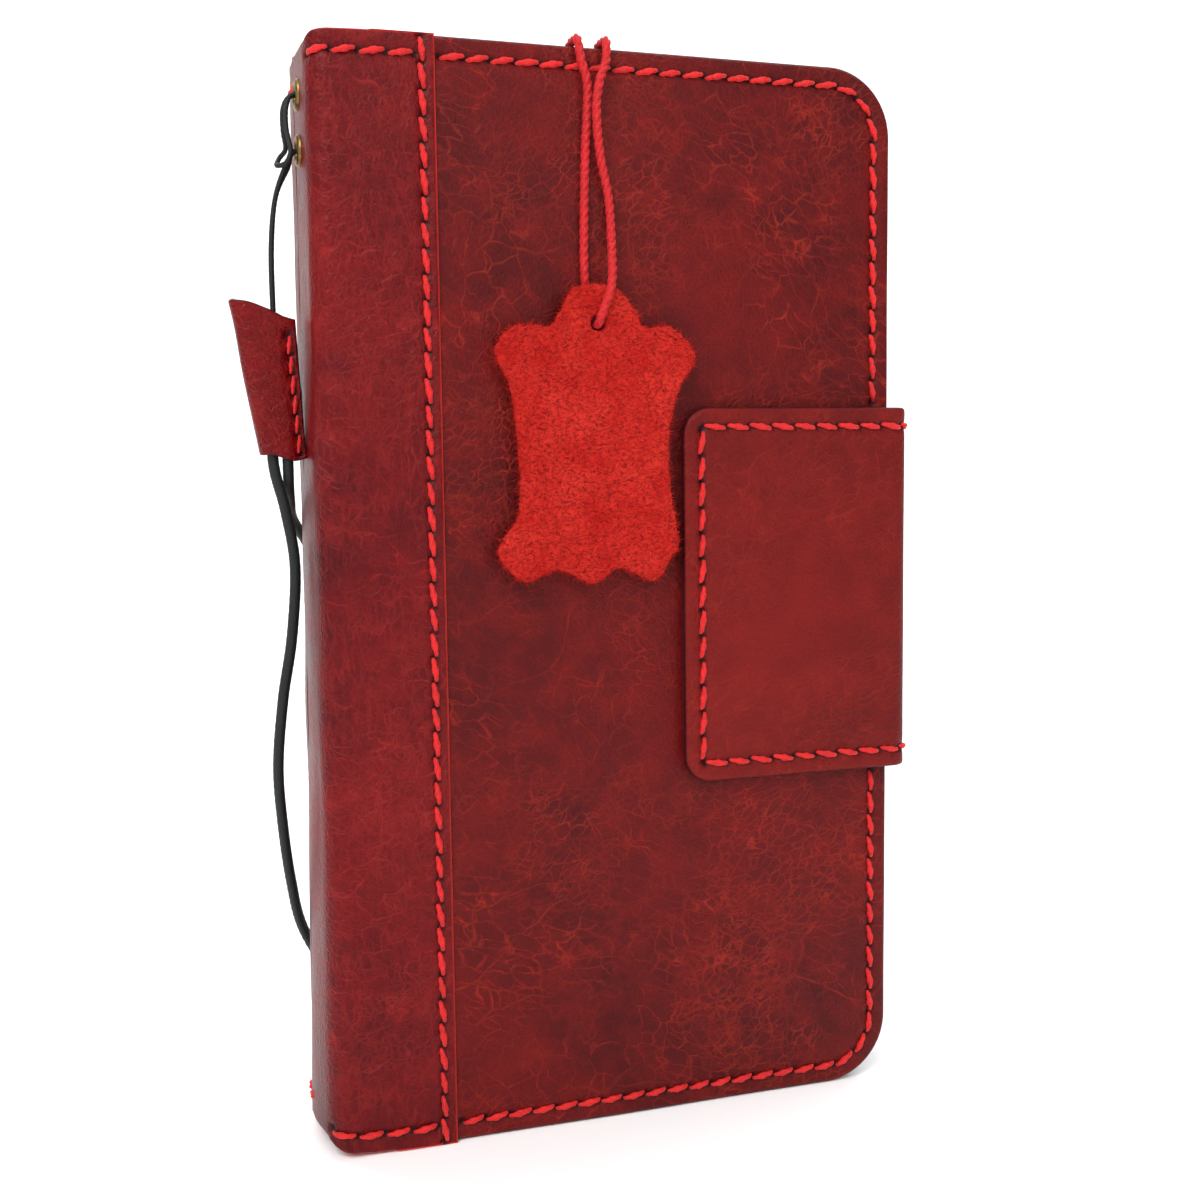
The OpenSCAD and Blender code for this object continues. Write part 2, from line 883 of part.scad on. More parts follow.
function smooth(route, steps) =
    let (n = len(route))
        [for (i = [0 : n - 2], k = [0 : steps - 1])
            curve_point(route[max(i - 1, 0)], route[i], route[i + 1], route[min(i + 2, n - 1)], k / steps),
         route[n - 1]];

function direction(line, i) = unit(line[min(i + 1, len(line) - 1)] - line[max(i - 1, 0)]);

// a direction across the tube at each ring, carried along so that the tube doesn't twist
function across(line) =
    [for (i = 0, n = unit(cross(direction(line, 0), [0.3, 1, 0.2]));
          i < len(line);
          i = i + 1,
          n = i < len(line) ? let (t = direction(line, i)) unit(n - (n * t) * t) : n)
        n];

module tube(route, d, steps) {
    sides = 8;
    line = smooth(route, steps);
    normals = across(line);
    last = len(line) - 1;
    points = [for (i = [0 : last], k = [0 : sides - 1])
        let (n = normals[i], b = cross(direction(line, i), n), a = 360 * k / sides)
            line[i] + d / 2 * (cos(a) * n + sin(a) * b)];
    // each wall is two triangles, so that every face is flat
    walls = [for (i = [0 : last - 1], k = [0 : sides - 1], half = [0, 1])
        let (a = i * sides + k, b = i * sides + (k + 1) % sides)
            half == 0 ? [a, b + sides, b] : [a, a + sides, b + sides]];
    first_cap = [for (k = [0 : sides - 1]) k];
    last_cap = [for (k = [sides - 1 : -1 : 0]) last * sides + k];
    polyhedron(points, concat(walls, [first_cap, last_cap]));
}

// ---------------------------------------------------------------- the nodes

back_cover_leather();
back_stiffener();
back_lining();
phone_shell();
back_edge_stitching();
back_spine_strip();
back_seam_stitching();
strap_tail_leather();
strap_tail_lining();
strap_tail_stitching();
spine_leather();
spine_lining();
upper_eyelet();
lower_eyelet();
eyelet_washers();
spine_edge_stitching();
front_cover_leather();
front_stiffener();
front_lining();
cash_pocket();
card_pocket_back();
card_pocket_middle();
card_pocket_front();
pocket_stitching();
front_edge_stitching();
front_spine_strip();
front_seam_stitching();
keeper_plate();
strap_side_leather();
strap_side_lining();
strap_side_stitching();
strap_flap_leather();
strap_flap_lining();
strap_flap_stitching();
strap_magnet();
hang_tag();
tag_cord();
tag_cord_knot();
loop_cord();
lanyard_sleeve();
sleeve_stitching();
wrist_cord();
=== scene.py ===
"""A red leather phone wallet case: covers, spine strip, strap, hang tag and lanyard.

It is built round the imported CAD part. Shapes are worked out in millimetres, in the part's frame, and written to
the meshes in metres.
"""
import math

import bpy
import numpy as np
from mathutils import Matrix, Vector
from mathutils.geometry import delaunay_2d_cdt
from mathutils.kdtree import KDTree


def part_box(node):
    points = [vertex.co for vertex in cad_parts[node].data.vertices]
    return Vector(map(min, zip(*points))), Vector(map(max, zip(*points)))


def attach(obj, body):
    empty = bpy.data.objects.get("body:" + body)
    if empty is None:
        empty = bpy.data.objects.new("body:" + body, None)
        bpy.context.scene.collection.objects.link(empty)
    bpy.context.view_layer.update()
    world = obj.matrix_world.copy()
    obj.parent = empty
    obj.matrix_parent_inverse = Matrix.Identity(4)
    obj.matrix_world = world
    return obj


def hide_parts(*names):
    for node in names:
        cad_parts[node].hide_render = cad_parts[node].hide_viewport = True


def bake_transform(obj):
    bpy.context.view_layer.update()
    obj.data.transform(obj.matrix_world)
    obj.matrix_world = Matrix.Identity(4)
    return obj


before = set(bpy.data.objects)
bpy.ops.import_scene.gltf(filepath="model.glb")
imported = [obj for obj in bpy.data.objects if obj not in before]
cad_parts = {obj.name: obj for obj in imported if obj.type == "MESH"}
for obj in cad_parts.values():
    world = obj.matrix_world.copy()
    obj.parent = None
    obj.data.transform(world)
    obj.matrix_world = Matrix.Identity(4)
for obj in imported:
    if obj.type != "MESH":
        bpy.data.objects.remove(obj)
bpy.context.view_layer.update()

MM = 0.001


def box(node):
    """The lowest and highest corner of a CAD node, in millimetres."""
    low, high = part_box(node)
    return np.array(low) / MM, np.array(high) / MM


# ---- places, from the frame

front_leather, back_leather = box("front_cover_leather"), box("back_cover_leather")
spine_box, strip_box = box("spine_leather"), box("front_spine_strip")
LEFT = spine_box[0][0]                  # the spine's outer face
RIGHT = front_leather[1][0]             # the covers' free edges
FRONT, BACK = front_leather[0][1], back_leather[1][1]
TOP = front_leather[1][2]
LEATHER = front_leather[1][1] - FRONT   # thickness of the cover leather
COVER_X = front_leather[0][0]
CORNER_R = 10
STRIP_Y = -strip_box[0][1]              # the laps' outer faces
STRIP_W = strip_box[1][0] - LEFT
LAP = FRONT + STRIP_Y                   # how far a lap stands proud of its cover
FOLD_R = 3
STRIP_END_R = 4
STRIP_CORNER_R = {"low": 1.6, "high": 0.8}
# how far the strip's ends sag at the spine, and over what length
STRIP_SAG = {"low": (1.1, 5), "high": (0.5, 4)}
STRIP_FOLLOW = 0.75                     # how much of that the stitching follows

STITCH_PITCH = 3.5
STITCH_INSET = 2.8
THREAD_D = 1.0
SEAM_X = LEFT + STRIP_W - 1.8

flap_box, tail_box = box("strap_flap_leather"), box("strap_tail_leather")
STRAP_X = box("strap_side_leather")[1][0]
STRAP_Z = (flap_box[0][2], flap_box[1][2])
STRAP_FRONT, STRAP_BACK = -flap_box[0][1], tail_box[1][1]
STRAP_T = STRAP_BACK - BACK
STRAP_LEATHER = 0.6 * STRAP_T
STRAP_R = STRAP_T + 0.4
STRAP_CORNER_R = 4
FLAP_X, TAIL_X = flap_box[0][0], tail_box[0][0]

EYELET_Y = -1.5
EYELETS = ("upper_eyelet", "lower_eyelet")
EYELET_Z = [float((box(n)[0][2] + box(n)[1][2]) / 2) for n in EYELETS]

tag_box = box("hang_tag")
TAG_X, TAG_Z = LEFT + 39, TOP - 38.3    # the tag's hole
TAG_T = tag_box[1][1] - tag_box[0][1]


def link(name, data):
    """A new object in the scene."""
    obj = bpy.data.objects.new(name, data)
    bpy.context.scene.collection.objects.link(obj)
    return obj


# ---- camera

def add_camera():
    """The camera, where the photographer's stood."""
    data = bpy.data.cameras.new("camera")
    data.lens, data.sensor_width = 45, 36
    camera = link("camera", data)
    forward = Vector((0.3176, 0.9437, -0.0924)).normalized()
    up = Vector((0.0410, 0.0836, 0.9957))
    right = forward.cross(up).normalized()
    up = right.cross(forward)
    turn = Matrix((right, up, -forward)).transposed().to_4x4()
    camera.matrix_world = Matrix.Translation(Vector((-73.5, -213.7, 97.5)) * MM) @ turn
    bpy.context.scene.camera = camera


add_camera()


# ---- materials

def srgb(r, g, b):
    """A colour as a screen shows it, as the shader's linear values."""
    return tuple((c / 255 / 12.92 if c < 11 else ((c / 255 + 0.055) / 1.055) ** 2.4) for c in (r, g, b)) + (1,)


class Look:
    """A material's node tree, with short calls to add nodes to it."""

    def __init__(self, name):
        self.material = bpy.data.materials.new(name)
        self.material.use_nodes = True
        self.tree = self.material.node_tree
        self.shader = self.tree.nodes["Principled BSDF"]

    def add(self, kind, props=(), out=0, **inputs):
        node = self.tree.nodes.new("ShaderNode" + kind)
        for name, value in dict(props).items():
            setattr(node, name, value)
        for name, value in inputs.items():
            key = int(name[1:]) if name[0] == "_" else name.replace("_", " ")
            self.put(node.inputs[key], value)
        return node.outputs[out]

    def put(self, socket, value):
        if isinstance(value, bpy.types.NodeSocket):
            self.tree.links.new(value, socket)
        else:
            socket.default_value = value

    def set(self, **inputs):
        for name, value in inputs.items():
            self.put(self.shader.inputs[name.replace("_", " ")], value)

    def flat(self):
        """The piece's own flat-pattern coordinates, in metres."""
        return self.add("UVMap", {"uv_map": "flat"})

    def place(self):
        return self.add("TexCoord", out=3)

    def noise(self, vector, scale, detail=3.0, rough=0.5, out=0):
        return self.add("TexNoise", out=out, Vector=vector, Scale=scale, Detail=detail, Roughness=rough)

    def edges(self, vector, scale):
        """Distance from the borders of irregular cells."""
        return self.add("TexVoronoi", {"feature": "DISTANCE_TO_EDGE"}, Vector=vector, Scale=scale)

    def ramp(self, value, *stops):
        """A value sent through a ramp of (place, grey or colour) stops."""
        node = self.tree.nodes.new("ShaderNodeValToRGB")
        elements = node.color_ramp.elements
        while len(elements) < len(stops):
            elements.new(0.5)
        for element, (at, level) in zip(elements, stops):
            element.position = at
            element.color = level if isinstance(level, tuple) else (level, level, level, 1)
        self.tree.links.new(value, node.inputs[0])
        return node.outputs[0]

    def mix(self, share, a, b, how="MIX"):
        node = self.tree.nodes.new("ShaderNodeMix")
        node.data_type, node.blend_type = "RGBA", how
        self.put(node.inputs[0], share)
        self.put(node.inputs[6], a)
        self.put(node.inputs[7], b)
        return node.outputs[2]

    def math(self, how, a, b=0.0):
        return self.add("Math", {"operation": how}, _0=a, _1=b)

    def warp(self, vector, scale, reach):
        """Coordinates pushed about by noise."""
        push = self.add("VectorMath", {"operation": "SUBTRACT"}, _0=self.noise(vector, scale, 2.0, out=1),
                        _1=(0.5, 0.5, 0.5))
        push = self.add("VectorMath", {"operation": "SCALE"}, _0=push, Scale=reach)
        return self.add("VectorMath", {"operation": "ADD"}, _0=vector, _1=push)

    def stretch(self, vector, x, y):
        return self.add("Mapping", Vector=vector, Scale=(x, y, 1.0))

    def bump(self, height, distance, under=None):
        inputs = {"Height": height, "Distance": distance, "Strength": 1.0}
        if under is not None:
            inputs["Normal"] = under
        return self.add("Bump", **inputs)

    def attribute(self, name):
        return self.add("Attribute", {"attribute_name": name}, out=2)


def creases(m, flat, turn, seed, size, width, where, long=1.8):
    """Clusters of branching creases that mostly run one way, with cells about a size across."""
    here = m.add("VectorMath", {"operation": "ADD"}, _0=flat, _1=(seed * 0.37, seed * 0.61, 0.0))
    bent = m.warp(m.warp(here, 1 / (4 * size), 1.6 * size), 1 / size, 0.6 * size)
    turned = m.add("Mapping", Vector=bent, Rotation=(0.0, 0.0, math.radians(turn)))
    borders = m.edges(m.stretch(turned, 1 / long, 1.0), 1 / size)
    line = m.ramp(borders, (0.0, 1.0), (width, 0.4), (2.5 * width, 0.0))
    strength = m.ramp(m.noise(here, 300, 3.0), (0.35, 0.15), (0.65, 1.0))
    cluster = m.ramp(m.noise(here, 40, 4.0), (where, 0.0), (where + 0.14, 1.0))
    return m.math("MULTIPLY", m.math("MULTIPLY", line, cluster), strength)


def leather(name, deep, base, light, crease, creasing=0.5, streaks=0.0, rough=0.46, cut=srgb(40, 7, 14)):
    """Waxed pull-up leather: mottled, with clusters of light creases, painted shade in its stitch holes and
    coloured edges.
    """
    m = Look(name)
    flat = m.flat()
    large = m.noise(m.warp(flat, 30, 0.01), 24, 4.0)
    patches = m.noise(flat, 150, 7.0, 0.68)
    grain = m.noise(flat, 2600, 3.0, 0.6)
    pebbles = m.edges(m.warp(flat, 900, 0.0008), 1100)
    lines = creases(m, flat, 25, 1, 0.0018, 0.034, 0.45, long=2.6)
    for turn, seed, size, width, where in ((-35, 2, 0.0013, 0.045, 0.47), (70, 3, 0.003, 0.018, 0.48),
                                           (-15, 4, 0.012, 0.007, 0.48)):
        lines = m.math("MAXIMUM", lines, creases(m, flat, turn, seed, size, width, where))
    if streaks:
        tall = creases(m, flat, 88, 5, 0.0011, 0.09, 0.3, long=6)
        lines = m.math("MAXIMUM", lines, m.math("MULTIPLY", tall, streaks))
    colour = m.mix(m.ramp(large, (0.34, 0.0), (0.66, 1.0)), deep, base)
    colour = m.mix(m.ramp(patches, (0.42, 0.0), (0.75, 0.7)), colour, light)
    colour = m.mix(m.ramp(grain, (0.34, 0.45), (0.6, 0.0)), colour, deep)
    colour = m.mix(m.math("MULTIPLY", lines, creasing), colour, crease)
    colour = m.mix(m.attribute("edge"), colour, cut)
    # painted shade: the stitch holes darkened nearly to black
    colour = m.mix(m.attribute("hole"), colour, srgb(24, 3, 5))
    shine = m.math("MULTIPLY_ADD", patches, 0.22)
    shine.node.inputs[2].default_value = rough - 0.11
    shine = m.math("ADD", shine, m.math("MULTIPLY", lines, 0.12))
    relief = m.bump(grain, 0.00008)
    relief = m.bump(m.ramp(pebbles, (0.0, 0.0), (0.3, 1.0)), 0.00005, relief)
    relief = m.bump(lines, -0.00012, relief)
    m.set(Base_Color=colour, Roughness=shine, Normal=relief, Coat_Weight=0.03, Coat_Roughness=0.3,
          Specular_IOR_Level=0.12)
    return m.material


def suede(name, deep, base, light, nap=1.0, fuzz=0.5):
    """A napped surface: short strokes, light and dark, with a soft sheen."""
    m = Look(name)
    flat = m.flat()
    strokes = m.noise(m.stretch(m.warp(flat, 700, 0.0016), 1.0, 1.7), 1500 * nap, 6.0, 0.75)
    clouds = m.noise(flat, 130 * nap, 6.0, 0.7)
    fibres = m.noise(flat, 5200 * nap, 3.0, 0.75)
    colour = m.mix(m.ramp(clouds, (0.36, 0.0), (0.66, 1.0)), base, light)
    colour = m.mix(m.ramp(strokes, (0.38, 1.0), (0.55, 0.0)), colour, deep)
    colour = m.mix(m.ramp(fibres, (0.5, 0.0), (0.68, 0.75)), colour, light)
    colour = m.mix(m.math("MULTIPLY", m.attribute("edge"), 0.5), colour, light)
    # painted shade: darker in the stitch holes
    colour = m.mix(m.attribute("hole"), colour, deep)
    relief = m.bump(fibres, 0.00016)
    relief = m.bump(strokes, 0.0006, relief)
    m.set(Base_Color=colour, Roughness=0.95, Normal=relief, Sheen_Weight=fuzz, Sheen_Roughness=0.5,
          Specular_IOR_Level=0.15)
    m.shader.inputs["Sheen Tint"].default_value = light
    return m.material


def thread(name, base, deep, rough=0.55, sheen=0.2):
    """Waxed or spun thread: fine fibres that run with the twist."""
    m = Look(name)
    place = m.place()
    fibres = m.noise(m.warp(place, 900, 0.0006), 5200, 3.0, 0.6)
    tone = m.noise(place, 260, 2.0)
    colour = m.mix(m.ramp(fibres, (0.35, 0.7), (0.6, 0.0)), base, deep)
    colour = m.mix(m.ramp(tone, (0.4, 0.0), (0.7, 0.25)), colour, deep)
    m.set(Base_Color=colour, Roughness=m.ramp(fibres, (0.3, rough + 0.2), (0.7, rough)),
          Normal=m.bump(fibres, 0.00005), Sheen_Weight=sheen, Specular_IOR_Level=0.35)
    return m.material


def metal(name, base, worn, rough, scratch):
    """Plated metal with brushed scratches, and darker where it has tarnished."""
    m = Look(name)
    place = m.place()
    tarnish = m.noise(place, 900, 5.0, 0.65)
    scratches = m.noise(m.add("Mapping", Vector=place, Scale=(1.0, 1.0, 14.0)), scratch, 3.0)
    m.set(Base_Color=m.mix(m.ramp(tarnish, (0.35, 0.0), (0.65, 1.0)), base, worn), Metallic=1.0,
          Roughness=m.ramp(scratches, (0.3, rough), (0.7, rough + 0.2)), Normal=m.bump(scratches, 0.00001))
    return m.material


def plastic(name, base, deep):
    """Moulded shell with a fine matte texture."""
    m = Look(name)
    place = m.place()
    grain = m.noise(place, 3800, 2.0)
    tone = m.noise(place, 60, 3.0)
    m.set(Base_Color=m.mix(tone, base, deep), Roughness=m.ramp(grain, (0.3, 0.5), (0.7, 0.62)),
          Normal=m.bump(grain, 0.00002))
    return m.material


def board(name):
    """Bonded leather board: pressed fibres."""
    m = Look(name)
    place = m.place()
    flecks = m.noise(place, 1500, 5.0, 0.7)
    colour = m.ramp(flecks, (0.35, srgb(122, 112, 98)), (0.65, srgb(164, 152, 134)))
    m.set(Base_Color=colour, Roughness=m.ramp(flecks, (0.3, 0.85), (0.7, 0.95)), Normal=m.bump(flecks, 0.00005))
    return m.material


COVER = leather("cover_leather", srgb(64, 6, 8), srgb(100, 11, 11), srgb(122, 18, 15), srgb(176, 48, 32),
                creasing=0.5)
STRIP = leather("strip_leather", srgb(60, 3, 8), srgb(100, 7, 11), srgb(124, 14, 17), srgb(168, 42, 38),
                creasing=0.45, streaks=0.55, rough=0.36, cut=srgb(208, 62, 56))
STRAP = leather("strap_leather", srgb(90, 12, 11), srgb(112, 16, 13), srgb(128, 23, 18), srgb(158, 40, 28),
                creasing=0.35)
SLEEVE = leather("sleeve_leather", srgb(76, 4, 7), srgb(112, 9, 12), srgb(140, 20, 22), srgb(180, 50, 42),
                 creasing=0.2, rough=0.27)
POCKET = leather("pocket_leather", srgb(78, 10, 14), srgb(104, 16, 18), srgb(118, 22, 22), srgb(140, 40, 32),
                 creasing=0.3, rough=0.5)
LINING = suede("lining_suede", srgb(50, 8, 14), srgb(72, 12, 20), srgb(92, 20, 28), nap=1.3, fuzz=0.3)
TAG = suede("tag_suede", srgb(118, 5, 5), srgb(198, 21, 17), srgb(230, 54, 42), nap=1.0, fuzz=0.2)
THREAD = thread("red_thread", srgb(222, 16, 18), srgb(140, 5, 8), sheen=0.1)
RED_CORD = thread("red_cord", srgb(205, 12, 20), srgb(110, 4, 10), sheen=0.05)
BLACK_CORD = thread("black_cord", srgb(17, 23, 23), srgb(5, 7, 8), rough=0.5, sheen=0.03)
BRASS = metal("antique_brass", srgb(150, 122, 72), srgb(84, 66, 40), rough=0.32, scratch=1400)
STEEL = metal("steel", srgb(190, 190, 194), srgb(160, 160, 166), rough=0.25, scratch=900)
SHELL = plastic("shell_plastic", srgb(92, 16, 24), srgb(74, 12, 20))
BOARD = board("board")


# ---- meshes

def make(name, points, faces, material, slot, flat=None, marks=()):
    """A mesh piece from points in millimetres, with its flat-pattern coordinates and its named marks."""
    points = np.asarray(points, float)
    mesh = bpy.data.meshes.new(name)
    mesh.from_pydata((points * MM).tolist(), [], faces)
    mesh.validate()
    mesh.polygons.foreach_set("use_smooth", np.ones(len(mesh.polygons), bool))
    for mark, values in dict(marks).items():
        made = mesh.attributes.new(mark, "FLOAT", "POINT")
        made.data.foreach_set("value", np.asarray(values, np.float32))
    if flat is not None:
        corner = np.zeros(len(mesh.loops), np.int32)
        mesh.loops.foreach_get("vertex_index", corner)
        uv = mesh.uv_layers.new(name="flat")
        uv.uv.foreach_set("vector", (np.asarray(flat)[corner] * MM).astype(np.float32).ravel())
    mesh.materials.append(material)
    mesh.set_sharp_from_angle(angle=math.radians(55))
    mesh.update()
    obj = link(name, mesh)
    return obj


def outward(points, faces):
    """The faces of a closed mesh, turned so that they face out."""
    t = np.array([f[:3] for f in faces])
    a, b, c = (points[t[:, k]] for k in range(3))
    if np.einsum("ij,ij->", a - points.mean(0), np.cross(b - points.mean(0), c - points.mean(0))) < 0:
        return [f[::-1] for f in faces]
    return faces


def tube(rings, sides, start=0):
    """The faces of a closed tube of rings of points."""
    corners = [start + i * sides + k for i in range(rings - 1) for k in range(sides)]
    following = [start + i * sides + (k + 1) % sides for i in range(rings - 1) for k in range(sides)]
    faces = [(a, b, b + sides, a + sides) for a, b in zip(corners, following)]
    first = tuple(range(start, start + sides))
    return faces + [first[::-1], tuple(k + (rings - 1) * sides for k in first)]


def dense(loop, step):
    """A closed outline with points about a step apart."""
    out = []
    for a, b in zip(loop, np.roll(loop, -1, 0)):
        count = max(1, round(float(np.linalg.norm(b - a)) / step))
        out += [a + (b - a) * k / count for k in range(count)]
    return np.array(out)


def rounded(x0, x1, z0, z1, radii):
    """A rectangle's outline, anticlockwise from the bottom left, with a radius for each corner."""
    corners = np.array([(x0, z0), (x1, z0), (x1, z1), (x0, z1)], float)
    loop = []
    for k, r in enumerate(radii):
        p = corners[k]
        before, after = ((corners[(k + d) % 4] - p) / np.linalg.norm(corners[(k + d) % 4] - p) for d in (-1, 1))
        if not r:
            loop.append(p)
            continue
        centre = p + r * (before + after)
        steps = max(4, int(r * 2))
        for a in np.linspace(0, math.pi / 2, steps + 1):
            loop.append(centre - r * (after * math.cos(a) + before * math.sin(a)))
    return np.array(loop)


def circle(x, z, r):
    turns = np.arange(32) * 2 * math.pi / 32
    return np.stack([x + r * np.cos(turns), z + r * np.sin(turns)], 1)


def curve(a, b, c, d, steps):
    """Points on a Catmull-Rom curve from b up to c."""
    return [0.5 * (2 * b + (c - a) * t + (2 * a - 5 * b + 4 * c - d) * t * t + (3 * b - a - 3 * c + d) * t ** 3)
            for t in np.arange(steps) / steps]


def smooth_loop(points, steps):
    """A smooth closed curve through an outline's points."""
    p = np.array(points, float)
    out = []
    for i in range(len(p)):
        a, b, c, d = (p[(i + k) % len(p)] for k in (-1, 0, 1, 2))
        out += curve(a, b, c, d, steps)
    return np.array(out)


def inset(loop, distance):
    """A closed outline moved towards its left by a distance."""
    ahead = np.roll(loop, -1, 0) - loop
    behind = loop - np.roll(loop, 1, 0)
    sides = [np.stack([-d[:, 1], d[:, 0]], 1) / np.linalg.norm(d, axis=1)[:, None] for d in (ahead, behind)]
    middle = sides[0] + sides[1]
    middle /= np.linalg.norm(middle, axis=1)[:, None]
    lean = np.maximum((middle * sides[0]).sum(1), 0.5)
    return loop + distance * middle / lean[:, None]


def inside(points, loop):
    """Which points lie in a closed outline."""
    found = np.zeros(len(points), bool)
    for a, b in zip(loop, np.roll(loop, -1, 0)):
        if a[1] == b[1]:
            continue
        across = (a[1] > points[:, 1]) != (b[1] > points[:, 1])
        x = a[0] + (points[:, 1] - a[1]) / (b[1] - a[1]) * (b[0] - a[0])
        found ^= across & (points[:, 0] < x)
    return found


def within(points, loops):
    """Which points lie in the first outline and in none of the others."""
    found = inside(points, loops[0])
    for hole in loops[1:]:
        found &= ~inside(points, hole)
    return found


def distance(points, places):
    """How far each point is from the nearest of some places."""
    tree = KDTree(len(places))
    for i, p in enumerate(places):
        tree.insert((p[0], p[1], 0), i)
    tree.balance()
    return np.array([tree.find((p[0], p[1], 0))[2] for p in points])


def lattice(loop, spacing):
    """Evenly spread points over an outline's box, each row shifted by half a step."""
    low, high = loop.min(0), loop.max(0)
    rows = np.arange(low[1], high[1], spacing * 0.87)
    return np.array([(x + (k % 2) * spacing / 2, z) for k, z in enumerate(rows)
                     for x in np.arange(low[0], high[0], spacing)])


RIM = (0.0, 0.1, 0.3, 0.6, 1.0)     # rings of points inside a panel's edge
DENT = 0.55                         # depth of a stitch hole
FINE_SPACING = 0.42                 # between points beside a row of stitches
SEAM_REACH = 1.2                    # how far the finer mesh goes each side of a row of stitches
FAR = 9.0                           # the distance from the edge that any inner point counts as


def panel(name, outline, place, thickness, material, slot, holes=(), face=None, under=None, round_r=0.5,
          spacing=1.1, fine=(), grain=(0, 0), square=None, stitched=(), dark_edge=1.0):
    """A piece cut flat from sheet material and then put in its place.

    The face is raised by face(flat points), the back lies under(distance from the edge, flat points) below it,
    and the edges are rounded except where square(flat points) is true. Stitch holes are sunk, with painted shade.
    """
    loops = [dense(outline, 0.55)] + [dense(h[::-1], 0.55) for h in holes]
    rings, depth, ties = [], [], []
    for loop in loops:
        for d in RIM:
            start = sum(len(r) for r in rings)
            ring = inset(loop, d) if d else loop
            rings.append(ring)
            depth.append(np.full(len(ring), d))
            if d in (0.0, RIM[-1]):
                ties += [(start + k, start + (k + 1) % len(ring)) for k in range(len(ring))]
    borders = np.concatenate(loops)
    inner = lattice(loops[0], spacing)
    if len(fine):
        inner = inner[distance(inner, fine) > SEAM_REACH]
        extra = lattice(loops[0], FINE_SPACING)
        inner = np.concatenate([inner, extra[distance(extra, fine) <= SEAM_REACH]])
    inner = inner[within(inner, loops) & (distance(inner, borders) > RIM[-1] + 0.3)]
    flat = np.concatenate(rings + [inner])
    edge = np.concatenate(depth + [np.full(len(inner), FAR)])
    made = delaunay_2d_cdt([Vector(p) for p in flat], ties, [], 0, 1e-6)
    corners, triangles, came_from = made[0], made[2], made[3]
    edge = np.array([edge[old[0]] if len(old) else 0.0 for old in came_from])
    flat = np.array([tuple(p) for p in corners])
    triangles = np.array(triangles)
    triangles = triangles[within(flat[triangles].mean(1), loops)]
    used, triangles = np.unique(triangles, return_inverse=True)
    triangles = triangles.reshape(-1, 3)
    flat, edge = flat[used], edge[used]
    count = len(flat)
    drop = np.where(edge < round_r, round_r - np.sqrt(np.maximum(round_r ** 2 - (round_r - edge) ** 2, 0)), 0)
    mark = dark_edge * np.clip(1 - edge / 0.25, 0, 1)
    if square is not None:
        open_end = square(flat)
        drop = np.where(open_end, 0, drop)
        mark = np.where(open_end, 0, mark)
    raised = face(flat) if face else np.zeros(count)
    painted_hole_shade = np.zeros(count)
    if len(stitched):
        near = distance(flat, stitched)
        raised = raised - DENT * np.exp(-(near / 0.45) ** 2)
        # painted shade: a dark mark round each stitch hole, standing in for the shade inside the hole
        painted_hole_shade = np.clip(1.3 * np.exp(-(near / 0.52) ** 2), 0, 1)
    back_depth = under(edge, flat) if under else np.full(count, float(thickness))
    points = np.concatenate([place(flat, raised - drop), place(flat, drop - back_depth)])
    faces = triangles.tolist() + (triangles[:, ::-1] + count).tolist()
    sides = {(t[k], t[(k + 1) % 3]) for t in triangles.tolist() for k in range(3)}
    faces += [(b, a, a + count, b + count) for a, b in sides if (b, a) not in sides]
    faces = outward(points, faces)
    uv = np.concatenate([flat, flat]) + np.array(grain, float)
    marks = {"edge": np.concatenate([mark] * 2), "hole": np.concatenate([painted_hole_shade] * 2)}
    return make(name, points, faces, material, slot, uv, marks)


def ripple(points, size, seed):
    """A smooth random field from -1 to 1, with waves about a size long."""
    random = np.random.default_rng(seed)
    total = np.zeros(len(points))
    for _ in range(7):
        turn, phase = random.uniform(0, 2 * math.pi, 2)
        wave = size * random.uniform(0.7, 1.6)
        way = np.array([math.cos(turn), math.sin(turn)])
        total += np.sin(points @ way * 2 * math.pi / wave + phase)
    return total / 4.5


def on_front(at):
    """Puts flat points on a plane that faces the front, at a depth."""
    return lambda flat, height: np.stack([flat[:, 0], at - height, flat[:, 1]], 1)


def on_back(at):
    return lambda flat, height: np.stack([flat[:, 0], at + height, flat[:, 1]], 1)


def swell(z):
    """How far the soft spine bulges out: a little at the top and more towards the bottom."""
    return 0.3 + 1.8 * np.clip(1 - z / 135, 0, 1) ** 1.8


def folded(x_out, side, half, r, way, bulge=None):
    """Puts flat points on a band folded round an edge.

    The first coordinate runs from the middle of the band's side, round the fold and along the cover. side is 1
    where the cover lies to the right. way is -1 for the front half and 1 for the back half.
    """
    straight = half - r
    arc = r * math.pi / 2

    def place(flat, height):
        s = flat[:, 0]
        a = np.clip((s - straight) / r, 0, math.pi / 2)
        out = bulge(flat[:, 1]) if bulge else 0.0
        out = out * np.cos(np.clip(s / (straight + arc), -1, 1) * math.pi / 2)
        lift = height + out
        over = np.maximum(s - straight - arc, 0)
        x = x_out + side * (r * (1 - np.cos(a)) + over) - side * np.cos(a) * lift
        y = way * (np.minimum(s, straight) + r * np.sin(a) + np.sin(a) * lift)
        return np.stack([x, y, flat[:, 1]], 1)

    place.length = lambda x: straight + arc + side * (x - x_out) - r
    return place


# ---- stitches

def along(line, pitch):
    """Stitches along a line of points: each one's middle and direction, and the holes between them."""
    line = np.array(line, float)
    steps = np.linalg.norm(np.diff(line, axis=0), axis=1)
    at = np.concatenate([[0], np.cumsum(steps)])
    count = max(1, int(at[-1] / pitch))

    def point(s):
        return np.stack([np.interp(s, at, line[:, k]) for k in range(2)], 1)

    s = (np.arange(count) + 0.5) / count * at[-1]
    way = point(s + 0.2) - point(s - 0.2)
    turns = np.arctan2(way[:, 1], way[:, 0])
    holes = point(np.arange(count + 1) / count * at[-1])
    return [(m, t) for m, t in zip(point(s), turns)], holes


